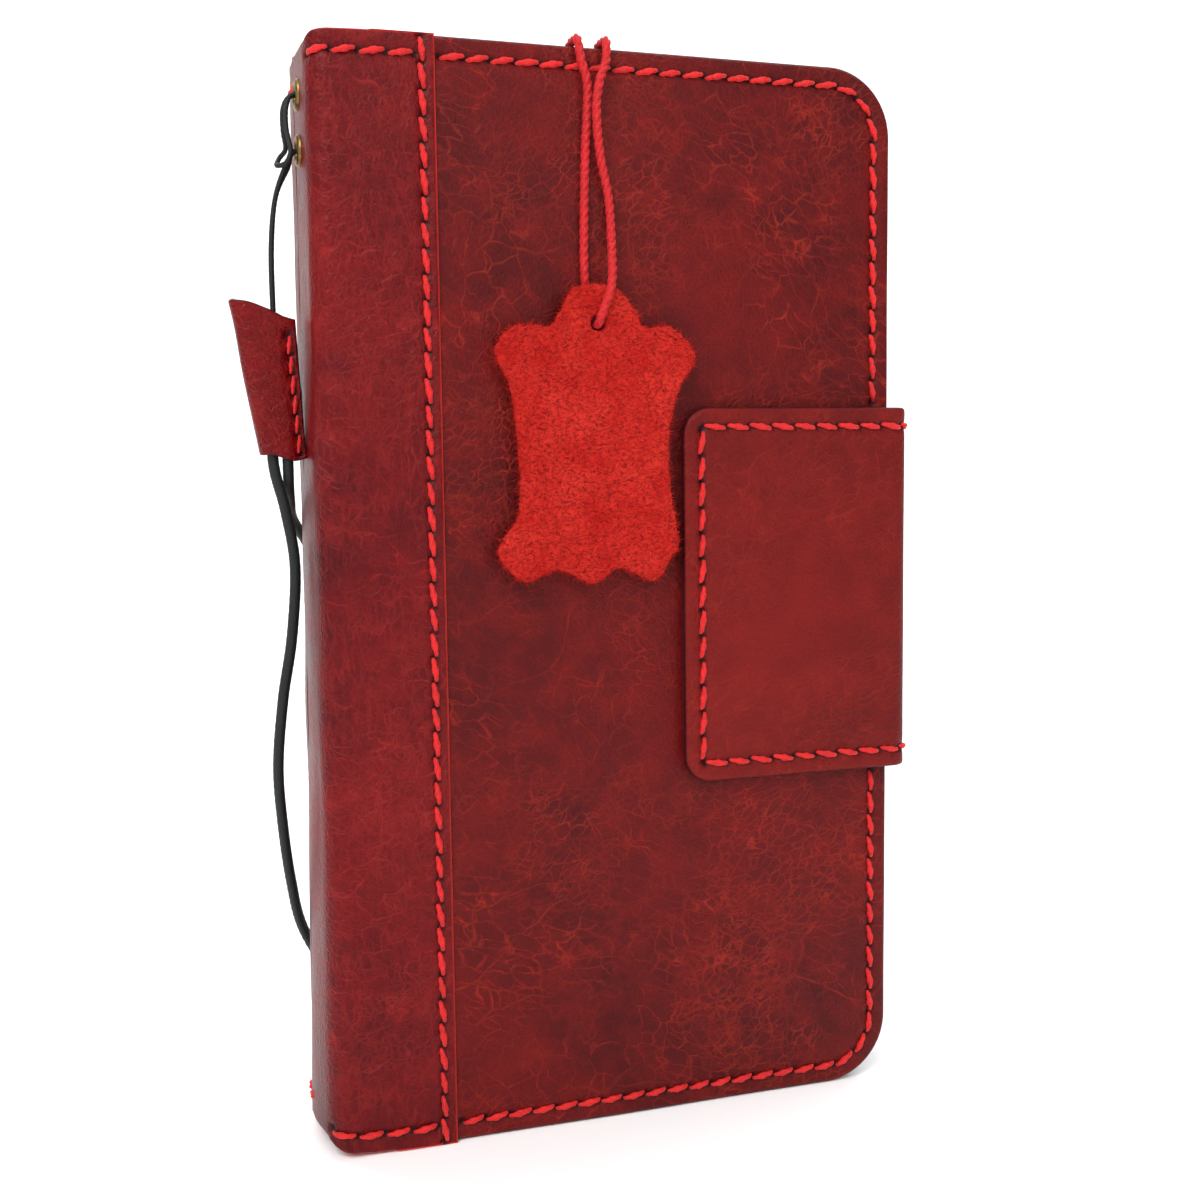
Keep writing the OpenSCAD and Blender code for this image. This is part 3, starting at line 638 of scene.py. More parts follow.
def along_rows(rows, pitch):
    """Stitches along several lines, and all the holes."""
    found = [along(row, pitch) for row in rows]
    return [place for places, _ in found for place in places], np.concatenate([holes for _, holes in found])


def stitch_shape(length, d):
    """One stitch: two plies twisted together, out of one hole and into the next, as rings of points."""
    rings, sides, plies, turns = 15, 12, 2, 1.1
    u = np.linspace(-1, 1, rings)
    rise = 0.36 * d * (1 - np.abs(u) ** 3) - 0.32 * d
    out = []
    for k in range(rings):
        a = np.arange(sides) * 2 * math.pi / sides
        twist = turns * math.pi * u[k]
        r = d / 2 * (0.84 + 0.15 * np.cos(plies * (a - twist))) * (1 - 0.62 * abs(u[k]) ** 2.6)
        out.append(np.stack([np.full(sides, u[k] * length / 2), r * np.cos(a), rise[k] + r * np.sin(a)], 1))
    return np.array(out)


def stitches(name, places, place, replaced, body, slant=10, seed=1, length=0.95 * STITCH_PITCH, d=THREAD_D):
    """A row of stitches on a placed panel, each a little different from the next."""
    random = np.random.default_rng(seed)
    shape = stitch_shape(length, d)
    rings, sides = shape.shape[:2]
    points, faces = [], []
    for middle, turn in places:
        turn = turn + math.radians(slant + random.uniform(-3, 3))
        bigger = random.uniform(0.94, 1.06)
        c, s = math.cos(turn), math.sin(turn)
        p = shape.reshape(-1, 3) * (bigger, bigger, random.uniform(0.9, 1.08))
        flat = np.stack([middle[0] + c * p[:, 0] - s * p[:, 1], middle[1] + s * p[:, 0] + c * p[:, 1]], 1)
        faces += tube(rings, sides, start=len(points) * rings * sides)
        points.append(place(flat, p[:, 2]))
    points = np.concatenate(points)
    piece = make(name, points, outward(points, faces), THREAD, "red_thread")
    if replaced:
        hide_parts(*replaced)
    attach(piece, body)
    return piece


def cover_line():
    """The covers' stitching line: along the top, down the free edge and back along the bottom."""
    x0, r = LEFT + STRIP_W + 0.8, CORNER_R - STITCH_INSET
    cx, high, low = RIGHT - CORNER_R, TOP - CORNER_R, CORNER_R
    turns = np.linspace(0, math.pi / 2, 12)
    line = [(x0, TOP - STITCH_INSET)]
    line += [(cx + r * math.sin(a), high + r * math.cos(a)) for a in turns]
    line += [(cx + r * math.cos(a), low - r * math.sin(a)) for a in turns]
    line += [(x0, STITCH_INSET)]
    return np.array(line)


def samples(line, step=0.4):
    """Points about a step apart along an open line."""
    line = np.array(line, float)
    out = [line[-1]]
    for a, b in zip(line[:-1], line[1:]):
        count = max(1, int(np.linalg.norm(b - a) / step))
        out += [a + (b - a) * k / count for k in range(count)]
    return np.array(out)


def sewn(lines, depth=0.2, wave=0.1, size=28, seed=3):
    """A face that is drawn in along its stitching lines, and waves a little elsewhere."""
    track = np.concatenate([samples(line) for line in lines])

    def face(flat):
        near = distance(flat, track)
        return wave * ripple(flat, size, seed) - depth * np.exp(-(near / 0.75) ** 2)

    return face, track


# ---- the covers

def cover_outline(x0, gap):
    return rounded(x0, RIGHT - gap, gap, TOP - gap, (0, CORNER_R - gap, CORNER_R - gap, 0))


window_box = box("phone_shell")
WINDOW_W, WINDOW_H, WINDOW_R = 24, 36, 4
WINDOW_IN = 1.4 + 4     # the shell's wall, and from the phone's edges to the camera window
WINDOW_X = window_box[1][0] - WINDOW_IN - WINDOW_W
WINDOW_Z = window_box[1][2] - WINDOW_IN - WINDOW_H


def window():
    return rounded(WINDOW_X, WINDOW_X + WINDOW_W, WINDOW_Z, WINDOW_Z + WINDOW_H, [WINDOW_R] * 4)


def under_strap(flat, x0, room):
    """Which places on a cover lie under the strap."""
    low, high = STRAP_Z[0] - room - 0.5, STRAP_Z[1] + room + 0.5
    return (flat[:, 0] > x0 - room) & (flat[:, 1] > low) & (flat[:, 1] < high)


def cover(name, node, place, strap_x, holes, body, seed, grain):
    """A cover's leather with its round of stitching, which stops where the strap lies on it."""
    places, punched = along(cover_line(), STITCH_PITCH)
    middles = np.array([p for p, _ in places])
    places = [p for p, hidden in zip(places, under_strap(middles, strap_x, 1.0)) if not hidden]
    punched = punched[~under_strap(punched, strap_x, 0.0)]
    face, track = sewn([cover_line()], seed=seed, wave=0.09)
    piece = panel(name, cover_outline(COVER_X, 0), place, LEATHER, COVER, "cover_leather", holes=holes,
                  face=face, round_r=0.75, fine=track, stitched=punched, grain=grain)
    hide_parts(node)
    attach(piece, body)
    return places


front_place, back_place = on_front(FRONT), on_back(BACK)
front_stitches = cover("front_cover_hide", "front_cover_leather", front_place, FLAP_X, [], "front",
                       seed=3, grain=(0, 0))
back_stitches = cover("back_cover_hide", "back_cover_leather", back_place, TAIL_X, [window()], "back",
                      seed=4, grain=(400, 90))
stitches("front_edge_thread", front_stitches, front_place, ["front_edge_stitching"], "front", seed=1)
stitches("back_edge_thread", back_stitches, back_place, ["back_edge_stitching"], "back", seed=2)

lining_box, board_box = box("front_lining"), box("front_stiffener")
LINING_X = lining_box[0][0]
LINING_T = lining_box[1][1] - lining_box[0][1]
INNER = lining_box[1][1]
BOARD_T = board_box[1][1] - board_box[0][1]


def lining(name, node, place, holes, body, seed):
    """A suede lining, glued down over the board's edge onto the leather all round."""
    def under(edge, flat):
        return LINING_T - 0.02 + (BOARD_T - 0.02) * np.clip((1.05 - edge) / 0.1, 0, 1)

    def face(flat):
        return 0.05 * ripple(flat, 34, seed)

    piece = panel(name, cover_outline(LINING_X, 0.45), place, LINING_T, LINING, "lining_suede", holes=holes,
                  face=face, under=under, round_r=0.4, spacing=1.8, grain=(0, 300 * seed), dark_edge=0.5)
    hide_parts(node)
    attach(piece, body)


lining("front_lining_suede", "front_lining", on_back(INNER), [], "front", 1)
lining("back_lining_suede", "back_lining", on_front(-INNER), [window()], "back", 2)

# ---- the spine strip

SEAM_Y = 2.5        # where the strip's two meshes meet, on the spine
SPINE_T = 1.5       # thickness of the strip where no cover leather lies under it
EYELET_HOLE_R = 1.55


def strip_half(name, nodes, way, seed, grain):
    """The spine strip from its meeting line round one fold and over one cover."""
    place = folded(LEFT, 1, STRIP_Y, FOLD_R, way, bulge=swell)
    end = place.length(LEFT + STRIP_W)
    start = way * SEAM_Y
    flat_side = STRIP_Y - FOLD_R

    def end_height(s, which):
        """How far an end of the strip lies inside the covers' end, with its sag and its round corner."""
        a = np.clip((s - flat_side) / FOLD_R, 0, math.pi / 2)
        x = FOLD_R * (1 - np.cos(a)) + np.maximum(s - flat_side - FOLD_R * math.pi / 2, 0)
        r = STRIP_CORNER_R[which]
        corner = r - np.sqrt(np.maximum(r ** 2 - np.clip(r - x, 0, None) ** 2, 0))
        sag, reach = STRIP_SAG[which]
        return corner + sag * np.exp(-x / reach)

    s = np.linspace(start, end, 60)
    low = np.stack([s, end_height(s, "low")], 1)
    outline = np.concatenate([low, np.stack([s, TOP - end_height(s, "high")], 1)[::-1]])

    seam_s = place.length(SEAM_X)
    s = np.linspace(flat_side + 0.8, seam_s - 0.9, 12)
    rows = [[(seam_s, 0.4), (seam_s, TOP - 0.4)],
            np.stack([s, STITCH_INSET + STRIP_FOLLOW * end_height(s, "low")], 1),
            np.stack([s, TOP - STITCH_INSET - STRIP_FOLLOW * end_height(s, "high")], 1)]
    places, holes = along_rows(rows, STITCH_PITCH)
    base, track = sewn(rows, seed=seed, wave=0.12, depth=0.22, size=22)

    def face(flat):
        # long upright creases where the leather has been folded
        worn = np.exp(-((flat[:, 0] - flat_side - 2) / 5) ** 2)
        return base(flat) + 0.07 * worn * ripple(flat * (6, 1), 26, seed + 7) * (flat[:, 1] > 1)

    def middle_edge(flat):
        return np.abs(flat[:, 0] - start) < 0.7

    def under(edge, flat):
        lap = np.clip((flat[:, 0] - place.length(COVER_X) + 0.6) / 0.5, 0, 1)
        return SPINE_T + (LAP - 0.02 - SPINE_T) * lap

    eyelets = [circle(-EYELET_Y, z, EYELET_HOLE_R) for z in EYELET_Z] if way < 0 else []
    piece = panel(name, outline, place, LAP, STRIP, "strip_leather", holes=eyelets, face=face, under=under,
                  round_r=0.45, fine=track, stitched=holes, grain=grain, square=middle_edge, spacing=0.95)
    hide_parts(*nodes)
    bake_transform(piece)
    return places, place


front_rows, front_strip_place = strip_half("spine_strip_front", ["front_spine_strip", "spine_leather"], -1,
                                           11, (0, 600))
back_rows, back_strip_place = strip_half("spine_strip_back", ["back_spine_strip"], 1,
                                         12, (60, 600))
for row_places, row_place, node, body in ((front_rows, front_strip_place, "front_seam_stitching", "front"),
                                          (back_rows, back_strip_place, "back_seam_stitching", "back")):
    stitches(node.replace("stitching", "thread"), row_places, row_place, [node], body, seed=5)

# the stitches that turn over the spine's ends
end_inset = STRIP_END_R + 1.6
end_places = [(np.array((s, z)), 0.0) for z in (end_inset, TOP - end_inset) for s in (1.2, 4.8)]
stitches("spine_end_thread", end_places, back_strip_place, ["spine_edge_stitching"], "spine", slant=4, seed=6)

# ---- the strap

def strap_half(name, leather_nodes, lining_nodes, way, half, reach_x, seed, grain):
    """One half of the strap: leather outside, lining inside, from the middle of the side to its free end."""
    outer = folded(STRAP_X, -1, half, STRAP_R, way)
    inner = folded(STRAP_X - STRAP_LEATHER, -1, half - STRAP_LEATHER, STRAP_R - STRAP_LEATHER, way)
    end = outer.length(reach_x)
    low, high = STRAP_Z
    outline = rounded(0, end, low, high, (0, STRAP_CORNER_R, STRAP_CORNER_R, 0))
    far = end - STITCH_INSET
    top, bottom = high - STITCH_INSET, low + STITCH_INSET
    rows = [[(1.2, top), (far - 0.4, top)], [(far, top - 0.4), (far, bottom + 0.4)],
            [(1.2, bottom), (far - 0.4, bottom)]]
    places, holes = along_rows(rows, STITCH_PITCH)
    face, track = sewn(rows, seed=seed, depth=0.2, wave=0.06)

    def middle_edge(flat):
        return flat[:, 0] < 0.7

    piece = panel(name + "_hide", outline, outer, STRAP_LEATHER - 0.01, STRAP, "strap_leather", face=face,
                  round_r=0.55, fine=track, stitched=holes, grain=grain, square=middle_edge)
    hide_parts(*leather_nodes)
    inside_end = inner.length(reach_x + 0.15)
    back_outline = rounded(0, inside_end, low + 0.15, high - 0.15, (0, STRAP_CORNER_R, STRAP_CORNER_R, 0))
    lined = panel(name + "_suede", back_outline, inner, STRAP_T - STRAP_LEATHER - 0.05, LINING, "lining_suede",
                  round_r=0.3, spacing=1.6, square=middle_edge, grain=(90, 0), dark_edge=0.4)
    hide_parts(*lining_nodes)
    for obj, before_fold in ((piece, 1.5), (lined, -0.2)):
        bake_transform(obj)
    return places, outer


flap_places, flap_place = strap_half(
    "strap_front", ["strap_flap_leather", "strap_side_leather"], ["strap_flap_lining", "strap_side_lining"],
    -1, STRAP_FRONT, FLAP_X, 21, (300, 0))
tail_places, tail_place = strap_half(
    "strap_back", ["strap_tail_leather"], ["strap_tail_lining"],
    1, STRAP_BACK, TAIL_X, 22, (300, 200))


def split_by_fold(places, fold_s):
    """The stitches on the side of a band, and those beyond its fold."""
    return ([p for p in places if p[0][0] <= fold_s], [p for p in places if p[0][0] > fold_s])


front_side, flap_rows = split_by_fold(flap_places, STRAP_FRONT - STRAP_R + 1.5)
back_side, tail_rows = split_by_fold(tail_places, STRAP_BACK - STRAP_R + 1.5)
stitches("strap_flap_thread", flap_rows, flap_place, ["strap_flap_stitching"], "strap_flap", seed=7)
stitches("strap_side_thread", front_side, flap_place, ["strap_side_stitching"], "strap_side", seed=8)
stitches("strap_side_thread_back", back_side, tail_place, [], "strap_side", seed=9)
stitches("strap_tail_thread", tail_rows, tail_place, ["strap_tail_stitching"], "back", seed=10)

# ---- the inside: pockets

def pocket(name, node, seed):
    """A pocket's thin leather, a little raised along its open edge."""
    (x0, y0, z0), (x1, y1, z1) = box(node)
    place = on_back(y1)

    def face(flat):
        return 0.05 * ripple(flat, 30, seed) + 0.12 * np.exp(-((flat[:, 0] - x0) / 4) ** 2)

    piece = panel(name, rounded(x0, x1, z0, z1, [3] * 4), place, y1 - y0 - 0.02, POCKET, "pocket_leather",
                  face=face, round_r=0.25, spacing=1.8, grain=(seed * 120, 0), dark_edge=0.8)
    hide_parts(node)
    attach(piece, "front")
    return x0, x1, z0, z1, y1


pocket("cash_pocket_leather", "cash_pocket", 31)
layers = [pocket(f"{node}_leather", node, 32 + k)
          for k, node in enumerate(("card_pocket_back", "card_pocket_middle", "card_pocket_front"))]


def pocket_threads():
    """Rows at the card pockets' top and bottom, and one down the free edge."""
    made = []
    for k, (x0, x1, z0, z1, y1) in enumerate(layers):
        last = k == len(layers) - 1
        far = x1 - 2 if last else layers[k + 1][0] - 0.5
        for z in (z0 + 2, z1 - 2):
            made += [(m, t, y1) for m, t in along([(x0 + 1, z), (far, z)], STITCH_PITCH)[0]]
        if last:
            made += [(m, t, y1) for m, t in along([(x1 - 2, z0 + 3), (x1 - 2, z1 - 3)], STITCH_PITCH)[0]]
    return made


made = pocket_threads()
for k, y in enumerate(sorted({y for _, _, y in made})):
    stitches(f"pocket_thread_{k}", [(m, t) for m, t, d in made if d == y], on_back(y),
             ["pocket_stitching"], "front", seed=40 + k)

# ---- the spine's lining and its eyelets

def spine_lining():
    low, high = box("spine_lining")
    outline = rounded(low[1], high[1], low[2], high[2], [1] * 4)

    def place(flat, height):
        out = (swell(flat[:, 1]) - swell(TOP)) * np.cos(flat[:, 0] / STRIP_Y * math.pi / 2)
        return np.stack([high[0] + height - out, flat[:, 0], flat[:, 1]], 1)

    holes = [circle(EYELET_Y, z, EYELET_HOLE_R) for z in EYELET_Z]
    piece = panel("spine_lining_suede", outline, place, high[0] - low[0] - 0.02, LINING, "lining_suede",
                  holes=holes, round_r=0.25, spacing=1.6, grain=(500, 0), dark_edge=0.5)
    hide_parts("spine_lining")
    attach(piece, "spine")


spine_lining()


def turned(name, profile, centre, material, slot):
    """A ring turned about an axis along X, from a closed profile of (along, radius) points."""
    sides, n = 48, len(profile)
    points, faces = [], []
    cx, cy, cz = centre
    for k in range(sides):
        a = 2 * math.pi * k / sides
        points += [(cx + x, cy + r * math.cos(a), cz + r * math.sin(a)) for x, r in profile]
        here, beside = k * n, (k + 1) % sides * n
        faces += [(here + i, here + (i + 1) % n, beside + (i + 1) % n, beside + i) for i in range(n)]
    points = np.array(points)
    return make(name, points, outward(points, faces), material, slot)


# closed outlines of the eyelets' parts: how far in from the spine's face, and how far from the hole's middle
FLANGE = [(2.7, 1.2), (0.1, 1.2), (-0.15, 1.22), (-0.4, 1.36), (-0.5, 1.6), (-0.48, 1.86), (-0.36, 2.08),
          (-0.16, 2.2), (0.06, 2.2), (0.1, 2.1), (0.1, 1.5), (2.7, 1.5)]
WASHER = [(0.0, 1.56), (0.0, 2.15), (0.12, 2.22), (0.3, 2.2), (0.4, 2.0), (0.42, 1.75), (0.3, 1.56)]
EYELET_OUT = 0.28       # how far the bulging spine carries them out
for node, z in zip(EYELETS, EYELET_Z):
    ring = turned(node + "_brass", FLANGE, (LEFT - EYELET_OUT, EYELET_Y, z), BRASS, "antique_brass")
    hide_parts(node)
    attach(ring, "spine")
    inside_x = box("eyelet_washers")[0][0]
    washer = turned(node + "_washer", WASHER, (inside_x, EYELET_Y, z), BRASS, "antique_brass")
    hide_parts("eyelet_washers")
    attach(washer, "spine")

# ---- the hang tag

TAG_OUTLINE = [
    (-3, 5), (2.5, 5), (5.5, 2), (7, -0.5), (11, -0.5), (14.5, -4.5), (12, -9.5), (10.5, -16.5),
    (10.8, -24), (11.8, -31), (10.5, -33.5), (8, -36.5), (3, -34.5), (-1, -36.5), (-6.5, -34.5),
    (-11.5, -36), (-15, -31.5), (-12, -26.5), (-11.8, -18.5), (-12.8, -9.5), (-15, -4), (-12, -0.5),
    (-7, -0.5), (-5, 2.5)]
TAG_FACE = tag_box[0][1]
TAG_HOLE_R = 1.05
FIBRES = 2600


def tag_place(flat, height):
    """The tag hangs with its corners curled a little away from the cover."""
    curl = 0.5 * ((flat[:, 0] - TAG_X) / 14) ** 2 + 0.25 * ((flat[:, 1] - TAG_Z + 16) / 20) ** 2
    return np.stack([flat[:, 0], TAG_FACE - height - curl, flat[:, 1]], 1)


def hang_tag():
    outline = smooth_loop(TAG_OUTLINE, 8)[::-1] + (TAG_X, TAG_Z)
    outline = dense(outline, 0.4)
    random = np.random.default_rng(51)
    outline = outline + random.normal(0, 0.05, outline.shape) + 0.08 * np.stack(
        [ripple(outline, 1.6, 52), ripple(outline, 1.6, 53)], 1)

    def face(flat):
        return 0.09 * ripple(flat, 2.4, 54) + 0.07 * ripple(flat, 0.9, 55) + 0.1 * ripple(flat, 9, 56)

    piece = panel("hang_tag_suede", outline, tag_place, TAG_T, TAG, "tag_suede",
                  holes=[circle(TAG_X, TAG_Z, TAG_HOLE_R)], face=face, round_r=0.6, spacing=0.5, dark_edge=0.7)
    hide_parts("hang_tag")
    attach(piece, "tag")
    fuzz(outline)


def fuzz(outline):
    """Loose fibres round the tag's cut edge."""
    random = np.random.default_rng(57)
    points, faces = [], []
    ahead = np.roll(outline, -1, 0) - np.roll(outline, 1, 0)
    out = np.stack([ahead[:, 1], -ahead[:, 0]], 1) / np.linalg.norm(ahead, axis=1)[:, None]
    for _ in range(FIBRES):
        i = random.integers(len(outline))
        depth = random.uniform(0.25, TAG_T - 0.25)
        root = tag_place((outline[i] - out[i] * 0.15)[None], np.array([-depth]))[0]
        way = np.array([out[i][0], random.normal(0, 0.5), out[i][1]]) + random.normal(0, 0.45, 3)
        way /= np.linalg.norm(way)
        bend = random.normal(0, 0.3, 3)
        length = random.uniform(0.3, 0.7) * (1 + (random.random() < 0.12))
        across = np.cross(way, random.normal(0, 1, 3))
        across /= np.linalg.norm(across)
        other = np.cross(way, across)
        start = len(points)
        for t, r in ((0, 0.045), (0.5, 0.03)):
            middle = root + way * length * t + bend * length * t * t
            points += [middle + r * (across * math.cos(a) + other * math.sin(a)) for a in (0, 2.094, 4.189)]
        points.append(root + way * length + bend * length)
        s = start
        faces += [(s + k, s + (k + 1) % 3, s + 3 + (k + 1) % 3, s + 3 + k) for k in range(3)]
        faces += [(s + 3 + k, s + 3 + (k + 1) % 3, s + 6) for k in range(3)] + [(s + 2, s + 1, s)]
    piece = make("hang_tag_fuzz", points, faces, TAG, "tag_suede", np.array(points)[:, [0, 2]])
    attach(piece, "tag")


hang_tag()

# ---- cords

def smooth_line(route, step):
    """A smooth curve through a route, with points about a step apart."""
    p = np.array(route, float)
    out = []
    for i in range(len(p) - 1):
        a, b, c, d = p[max(i - 1, 0)], p[i], p[i + 1], p[min(i + 2, len(p) - 1)]
        out += curve(a, b, c, d, 16)
    out = np.array(out + [p[-1]])
    at = np.concatenate([[0], np.cumsum(np.linalg.norm(np.diff(out, axis=0), axis=1))])
    even = np.linspace(0, at[-1], max(8, int(at[-1] / step)))
    return np.stack([np.interp(even, at, out[:, k]) for k in range(3)], 1)


def rope(name, line, d, material, slot, plies=3, lay=3.0, groove=0.24, sides=18):
    """A cord of twisted plies along a line. lay is the length of one whole twist."""
    way = np.gradient(line, axis=0)
    way /= np.linalg.norm(way, axis=1)[:, None]
    across = np.cross(way[0], (0.3, 1, 0.2))
    travelled = 0.0
    points = []
    for i, p in enumerate(line):
        across = across - way[i] * (across @ way[i])
        across /= np.linalg.norm(across)
        other = np.cross(way[i], across)
        if i:
            travelled += np.linalg.norm(p - line[i - 1])
        a = np.arange(sides) * 2 * math.pi / sides
        lobes = np.abs(np.cos(plies / 2 * (a - travelled * 2 * math.pi / lay)))
        r = d / 2 * (1 - groove + groove * lobes ** 0.7)
        points += list(p + r[:, None] * (np.cos(a)[:, None] * across + np.sin(a)[:, None] * other))
    points = np.array(points)
    return make(name, points, outward(points, tube(len(line), sides)), material, slot)


# each route's points are the CAD part's, in millimetres
TAG_CORD_ROUTE = [
    (-0.4, 4.6, -8), (-1.4, 4.1, -5), (-1.7, 3.8, -1.5), (-1.8, 3, 0.7), (-1.8, 1, 0.95), (-1.8, -0.7, 0.6),
    (-1.5, -1.25, -2.2), (-0.6, -1.2, -6), (-0.9, -0.8, -14), (-1.2, -0.7, -24), (-1.2, -0.7, -32),
    (-0.4, -0.7, -36.6), (0, -1.2, -38.3), (0, -2.7, -38.5), (0, -3.8, -37.8), (0.9, -3.8, -35.5),
    (1.8, -3.75, -32.5), (2.4, -2, -27), (2.4, -1, -21), (1, -1.6, -15), (0.3, -2.3, -9),
    (0.9, -2.1, -5), (2.1, -1.25, -2.2), (2.4, -0.7, 0.6), (2.4, 1, 0.95), (2.4, 3, 0.7),
    (2.2, 3.8, -1.5), (1.8, 4.1, -5), (0.9, 4.6, -8)]
LOOP_CORD_ROUTE = [
    (-4.4, -0.4, -37), (-4.4, -0.6, -28), (-3.6, -0.8, -21), (-1.8, -1.8, -16), (-0.9, -1.9, -14.9),
    (3.3, -1.9, -14.7), (4.1, -1.9, -11), (3.3, -1.9, -7.4), (-0.8, -1.9, -7.3), (-1.9, -2, -9),
    (-2, -2.2, -12), (-1.6, -2.9, -15), (-2.2, -2.5, -16.6), (-3.3, -1.2, -16.8), (-2.8, 0, -15.6),
    (-2, -0.7, -14.4), (-2.3, -0.9, -12), (-2.2, -1, -9), (-0.8, -1.1, -7.3), (3.3, -1.1, -7.4),
    (4.1, -1.1, -11), (3.3, -1.1, -14.7), (-0.9, -1.1, -14.9), (-1.8, -0.9, -17), (-3.5, 0, -21),
    (-4.2, 0.2, -28), (-4.2, 0.4, -37)]
WRIST_CORD_ROUTE = [
    (-4.9, 0, -50), (-4.9, 0, -57.4), (-3.4, 0.3, -64), (-2.3, 0.5, -72), (-3, 1, -82), (-4.4, 2, -91),
    (-5.2, 3.5, -101), (-4.6, 5.5, -110), (-3.4, 8, -119), (-1.6, 11, -127), (2, 12.4, -134),
    (7, 12.8, -140), (12, 13, -145), (18, 13.3, -148), (24, 13.6, -149), (29, 13.6, -147),
    (30, 13.5, -141), (28, 13.4, -133), (23, 13.2, -119), (17, 13, -105), (11, 12.8, -91),
    (6, 12.6, -79), (1.5, 12.2, -70), (-1.3, 9.5, -65.5), (-2.2, 5, -62.8), (-2.7, 1.6, -60.8),
    (-2.9, 0, -57.4), (-2.9, 0, -50)]
TAG_CORD_D, LOOP_CORD_D, WRIST_CORD_D = 1.3, 0.7, 1.6

tag_line = smooth_line([(TAG_X + x, FRONT + y, TOP + z) for x, y, z in TAG_CORD_ROUTE], 0.16)
loop_line = smooth_line([(LEFT + x, y, TOP + z) for x, y, z in LOOP_CORD_ROUTE], 0.16)
wrist_line = smooth_line([(LEFT + x, y, TOP + z) for x, y, z in WRIST_CORD_ROUTE], 0.3)

tag_cord = rope("tag_cord_twist", tag_line, TAG_CORD_D, RED_CORD, "red_cord", plies=3, lay=3.9, groove=0.42)
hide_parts("tag_cord")
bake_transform(tag_cord)

KNOT_SIZE, KNOT_D = 0.36, 1.0


def tag_knot():
    """A trefoil knot that holds the tag's cord inside the cover."""
    a = np.linspace(0, 2 * math.pi, 120)
    trefoil = np.stack([np.sin(a) + 2 * np.sin(2 * a), -np.sin(3 * a), np.cos(a) - 2 * np.cos(2 * a)], 1)
    low, high = box("tag_cord_knot")
    piece = rope("tag_knot_twist", (low + high) / 2 + KNOT_SIZE * trefoil, KNOT_D, RED_CORD, "red_cord",
                 plies=3, lay=4.0, groove=0.34, sides=12)
    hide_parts("tag_cord_knot")
    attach(piece, "front")
    return piece


knot = tag_knot()

loop_cord = rope("loop_cord_black", loop_line, LOOP_CORD_D, BLACK_CORD, "black_cord", plies=4, lay=3.0,
                 groove=0.12, sides=12)
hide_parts("loop_cord")
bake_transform(loop_cord)

wrist_cord = rope("wrist_cord_black", wrist_line, WRIST_CORD_D, BLACK_CORD, "black_cord", plies=6, lay=7.0,
                  groove=0.1, sides=16)
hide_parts("wrist_cord")
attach(wrist_cord, "lanyard")

# ---- the lanyard's sleeve

SLEEVE_T = 0.85
SLEEVE_PITCH = 2.6
SLEEVE_LEAN = 3         # degrees
SLEEVE_TAPER = 0.15     # how much wider it is at its top
SLEEVE_PINCH = 0.34     # how much flatter it is where its edges are sewn together


def sleeve():
    """A piece of leather folded round the cords, its two edges sewn together beside the spine."""
    (x0, y0, z0), (x1, y1, z1) = box("lanyard_sleeve")
    middle = np.array([(x0 + x1) / 2, (y0 + y1) / 2, (z0 + z1) / 2])
    r = (y1 - y0) / 2
    straight = x1 - x0 - r
    arc = r * math.pi / 2
    lean = math.radians(SLEEVE_LEAN)

    def place(flat, height):
        s = flat[:, 0]
        a = np.clip(np.abs(s) / r, 0, math.pi / 2)
        over = np.maximum(np.abs(s) - arc, 0)
        close = 1 - SLEEVE_PINCH * np.clip(over / straight, 0, 1) ** 2
        x = x0 + r * (1 - np.cos(a)) + over - np.cos(a) * height
        y = np.sign(s + 1e-9) * (r * np.sin(a) * close + np.sin(a) * height)
        z = flat[:, 1] + 0.35 * np.sin((x - x0) * 0.9)
        x = x1 + (x - x1) * (1 + SLEEVE_TAPER * (z - middle[2]) / (z1 - middle[2]))
        dx, dz = x - middle[0], z - middle[2]
        x = middle[0] + dx * math.cos(lean) - dz * math.sin(lean)
        z = middle[2] + dz * math.cos(lean) + dx * math.sin(lean)
        return np.stack([x, y, z], 1)

    end = arc + straight
    mouth = 0.65 * end      # the cords come out here, a little inside the sleeve's top edge
    outline = np.array([(-end, z0), (0, z0 + 0.8), (end, z0 + 0.4), (end, z1 - 0.8), (mouth, z1 + 1.1),
                        (0, z1 + 2.4), (-mouth, z1 + 1.1), (-end, z1 - 0.8)], float)
    rows = [[(side * (end - 1.1), z0 + 1), (side * (end - 1.1), z1 - 2.6)] for side in (-1, 1)]
    face, track = sewn(rows, seed=61, wave=0.16, depth=0.25, size=8)
    places, holes = along_rows(rows, SLEEVE_PITCH)
    piece = panel("sleeve_hide", outline, place, SLEEVE_T, SLEEVE, "sleeve_leather", face=face, round_r=0.35,
                  spacing=0.6, fine=track, stitched=holes, grain=(700, 0))
    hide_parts("lanyard_sleeve")
    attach(piece, "lanyard")
    thread = stitches("sleeve_thread", places, place, ["sleeve_stitching"], "lanyard", seed=62,
                      length=SLEEVE_PITCH - 0.2, d=0.7)
    return thread, piece


sleeve_thread, sleeve_hide = sleeve()

# ---- CAD nodes that stay

def dress(node, material, soften=0.0):
    """Gives a CAD node its material, and rounds its edges a little."""
    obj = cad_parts[node]
    obj.data.materials.clear()
    obj.data.materials.append(material)
    if soften:
        bevel = obj.modifiers.new("soften", "BEVEL")
        bevel.width, bevel.segments, bevel.limit_method = soften * MM, 3, "ANGLE"
        bevel.angle_limit = math.radians(40)


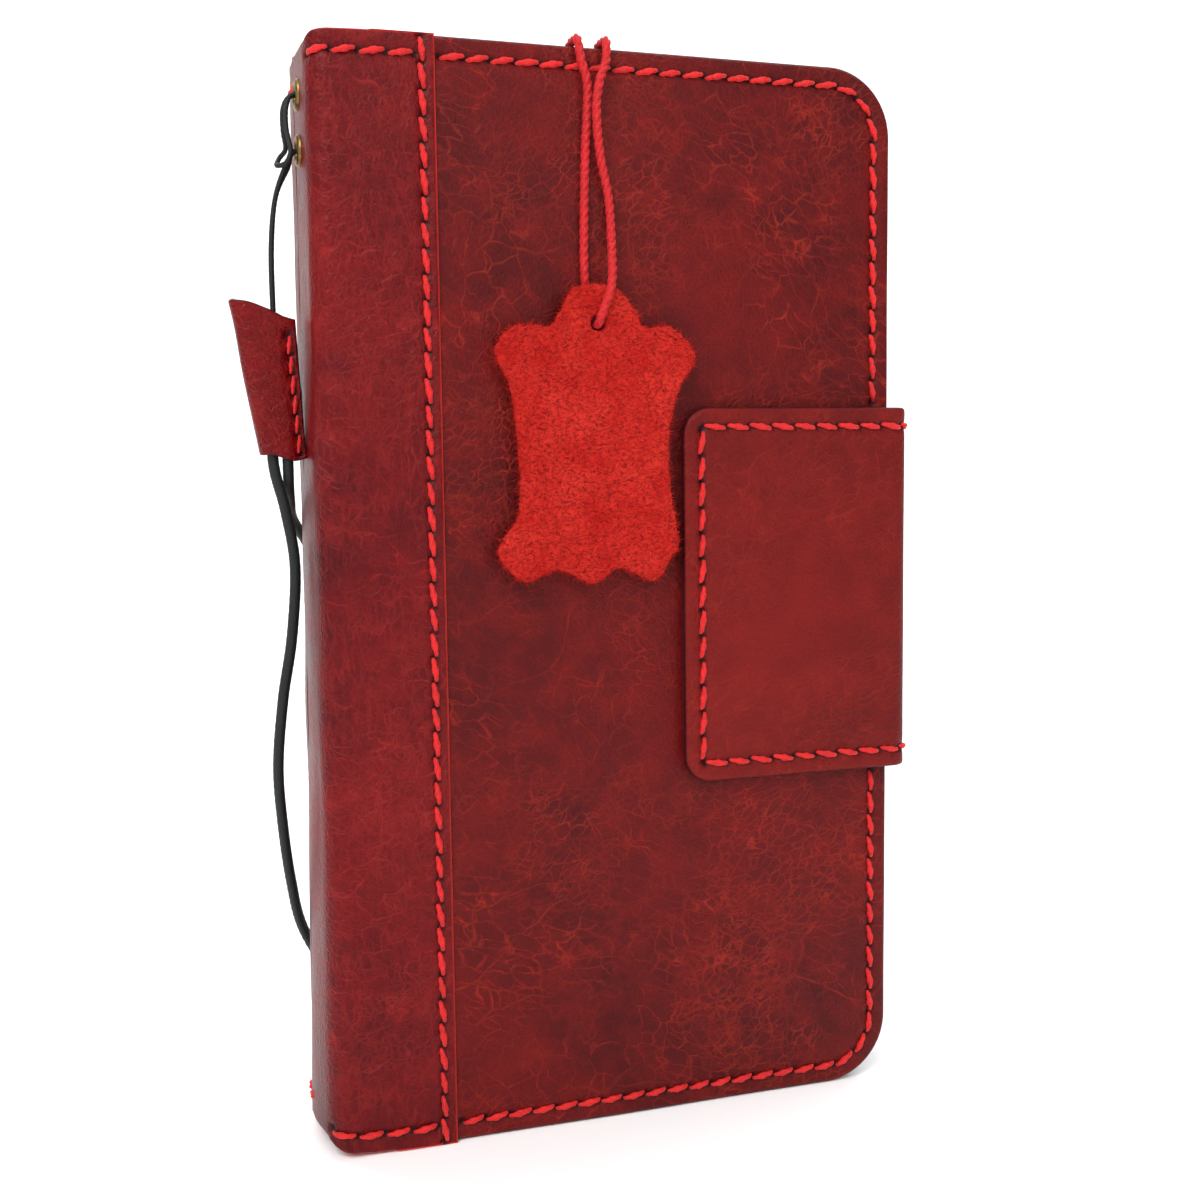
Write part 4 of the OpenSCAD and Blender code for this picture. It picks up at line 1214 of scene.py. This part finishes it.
dress("phone_shell", SHELL, 0.25)
dress("keeper_plate", STEEL)
dress("strap_magnet", STEEL)
for node in ("front_stiffener", "back_stiffener"):
    dress(node, BOARD)

# ---- floor and light

def backdrop():
    """A pale floor that curves up into a wall behind the object."""
    near, far, wide, high, bend = -1.2, 0.9, 3.0, 1.6, 0.5
    section = [(near, 0.0), (far - bend, 0.0)]
    section += [(far - bend + bend * math.sin(a), bend * (1 - math.cos(a))) for a in np.linspace(0.1, 1.57, 14)]
    section += [(far, high)]
    points = [(x, y, z - 0.00002) for x in (-wide, wide) for y, z in section]
    n = len(section)
    faces = [(k, k + 1, n + k + 1, n + k) for k in range(n - 1)]
    mesh = bpy.data.meshes.new("floor")
    mesh.from_pydata(points, [], [f[::-1] for f in faces])
    for p in mesh.polygons:
        p.use_smooth = True
    m = Look("floor")
    m.set(Base_Color=m.ramp(m.noise(m.place(), 6, 2.0), (0.0, srgb(250, 250, 250)), (1.0, srgb(253, 253, 253))),
          Roughness=0.9)
    mesh.materials.append(m.material)
    link("floor", mesh)


def softbox(name, place, target, size, power):
    data = bpy.data.lights.new(name, "AREA")
    data.shape, data.size, data.size_y, data.energy = "RECTANGLE", size[0], size[1], power
    lamp = link(name, data)
    lamp.location = place
    lamp.rotation_euler = (Vector(target) - Vector(place)).to_track_quat("-Z", "Y").to_euler()


backdrop()
world = bpy.data.worlds.new("studio")
bpy.context.scene.world = world
world.use_nodes = True
world.node_tree.nodes["Background"].inputs["Color"].default_value = (1, 1, 1, 1)
world.node_tree.nodes["Background"].inputs["Strength"].default_value = 0.3
middle = (0, 0, 0.08)
softbox("key", (-0.45, -0.6, 0.75), middle, (0.5, 0.5), 8.5)
softbox("side", (-0.8, -0.15, 0.35), middle, (0.15, 0.6), 0.7)
softbox("fill", (0.25, -1.0, 0.5), middle, (0.6, 0.5), 2.5)
softbox("back", (0.2, 0.45, 1.0), (0.1, 0.35, 0), (1.6, 1.0), 14)
bpy.context.scene.view_settings.view_transform = "Standard"
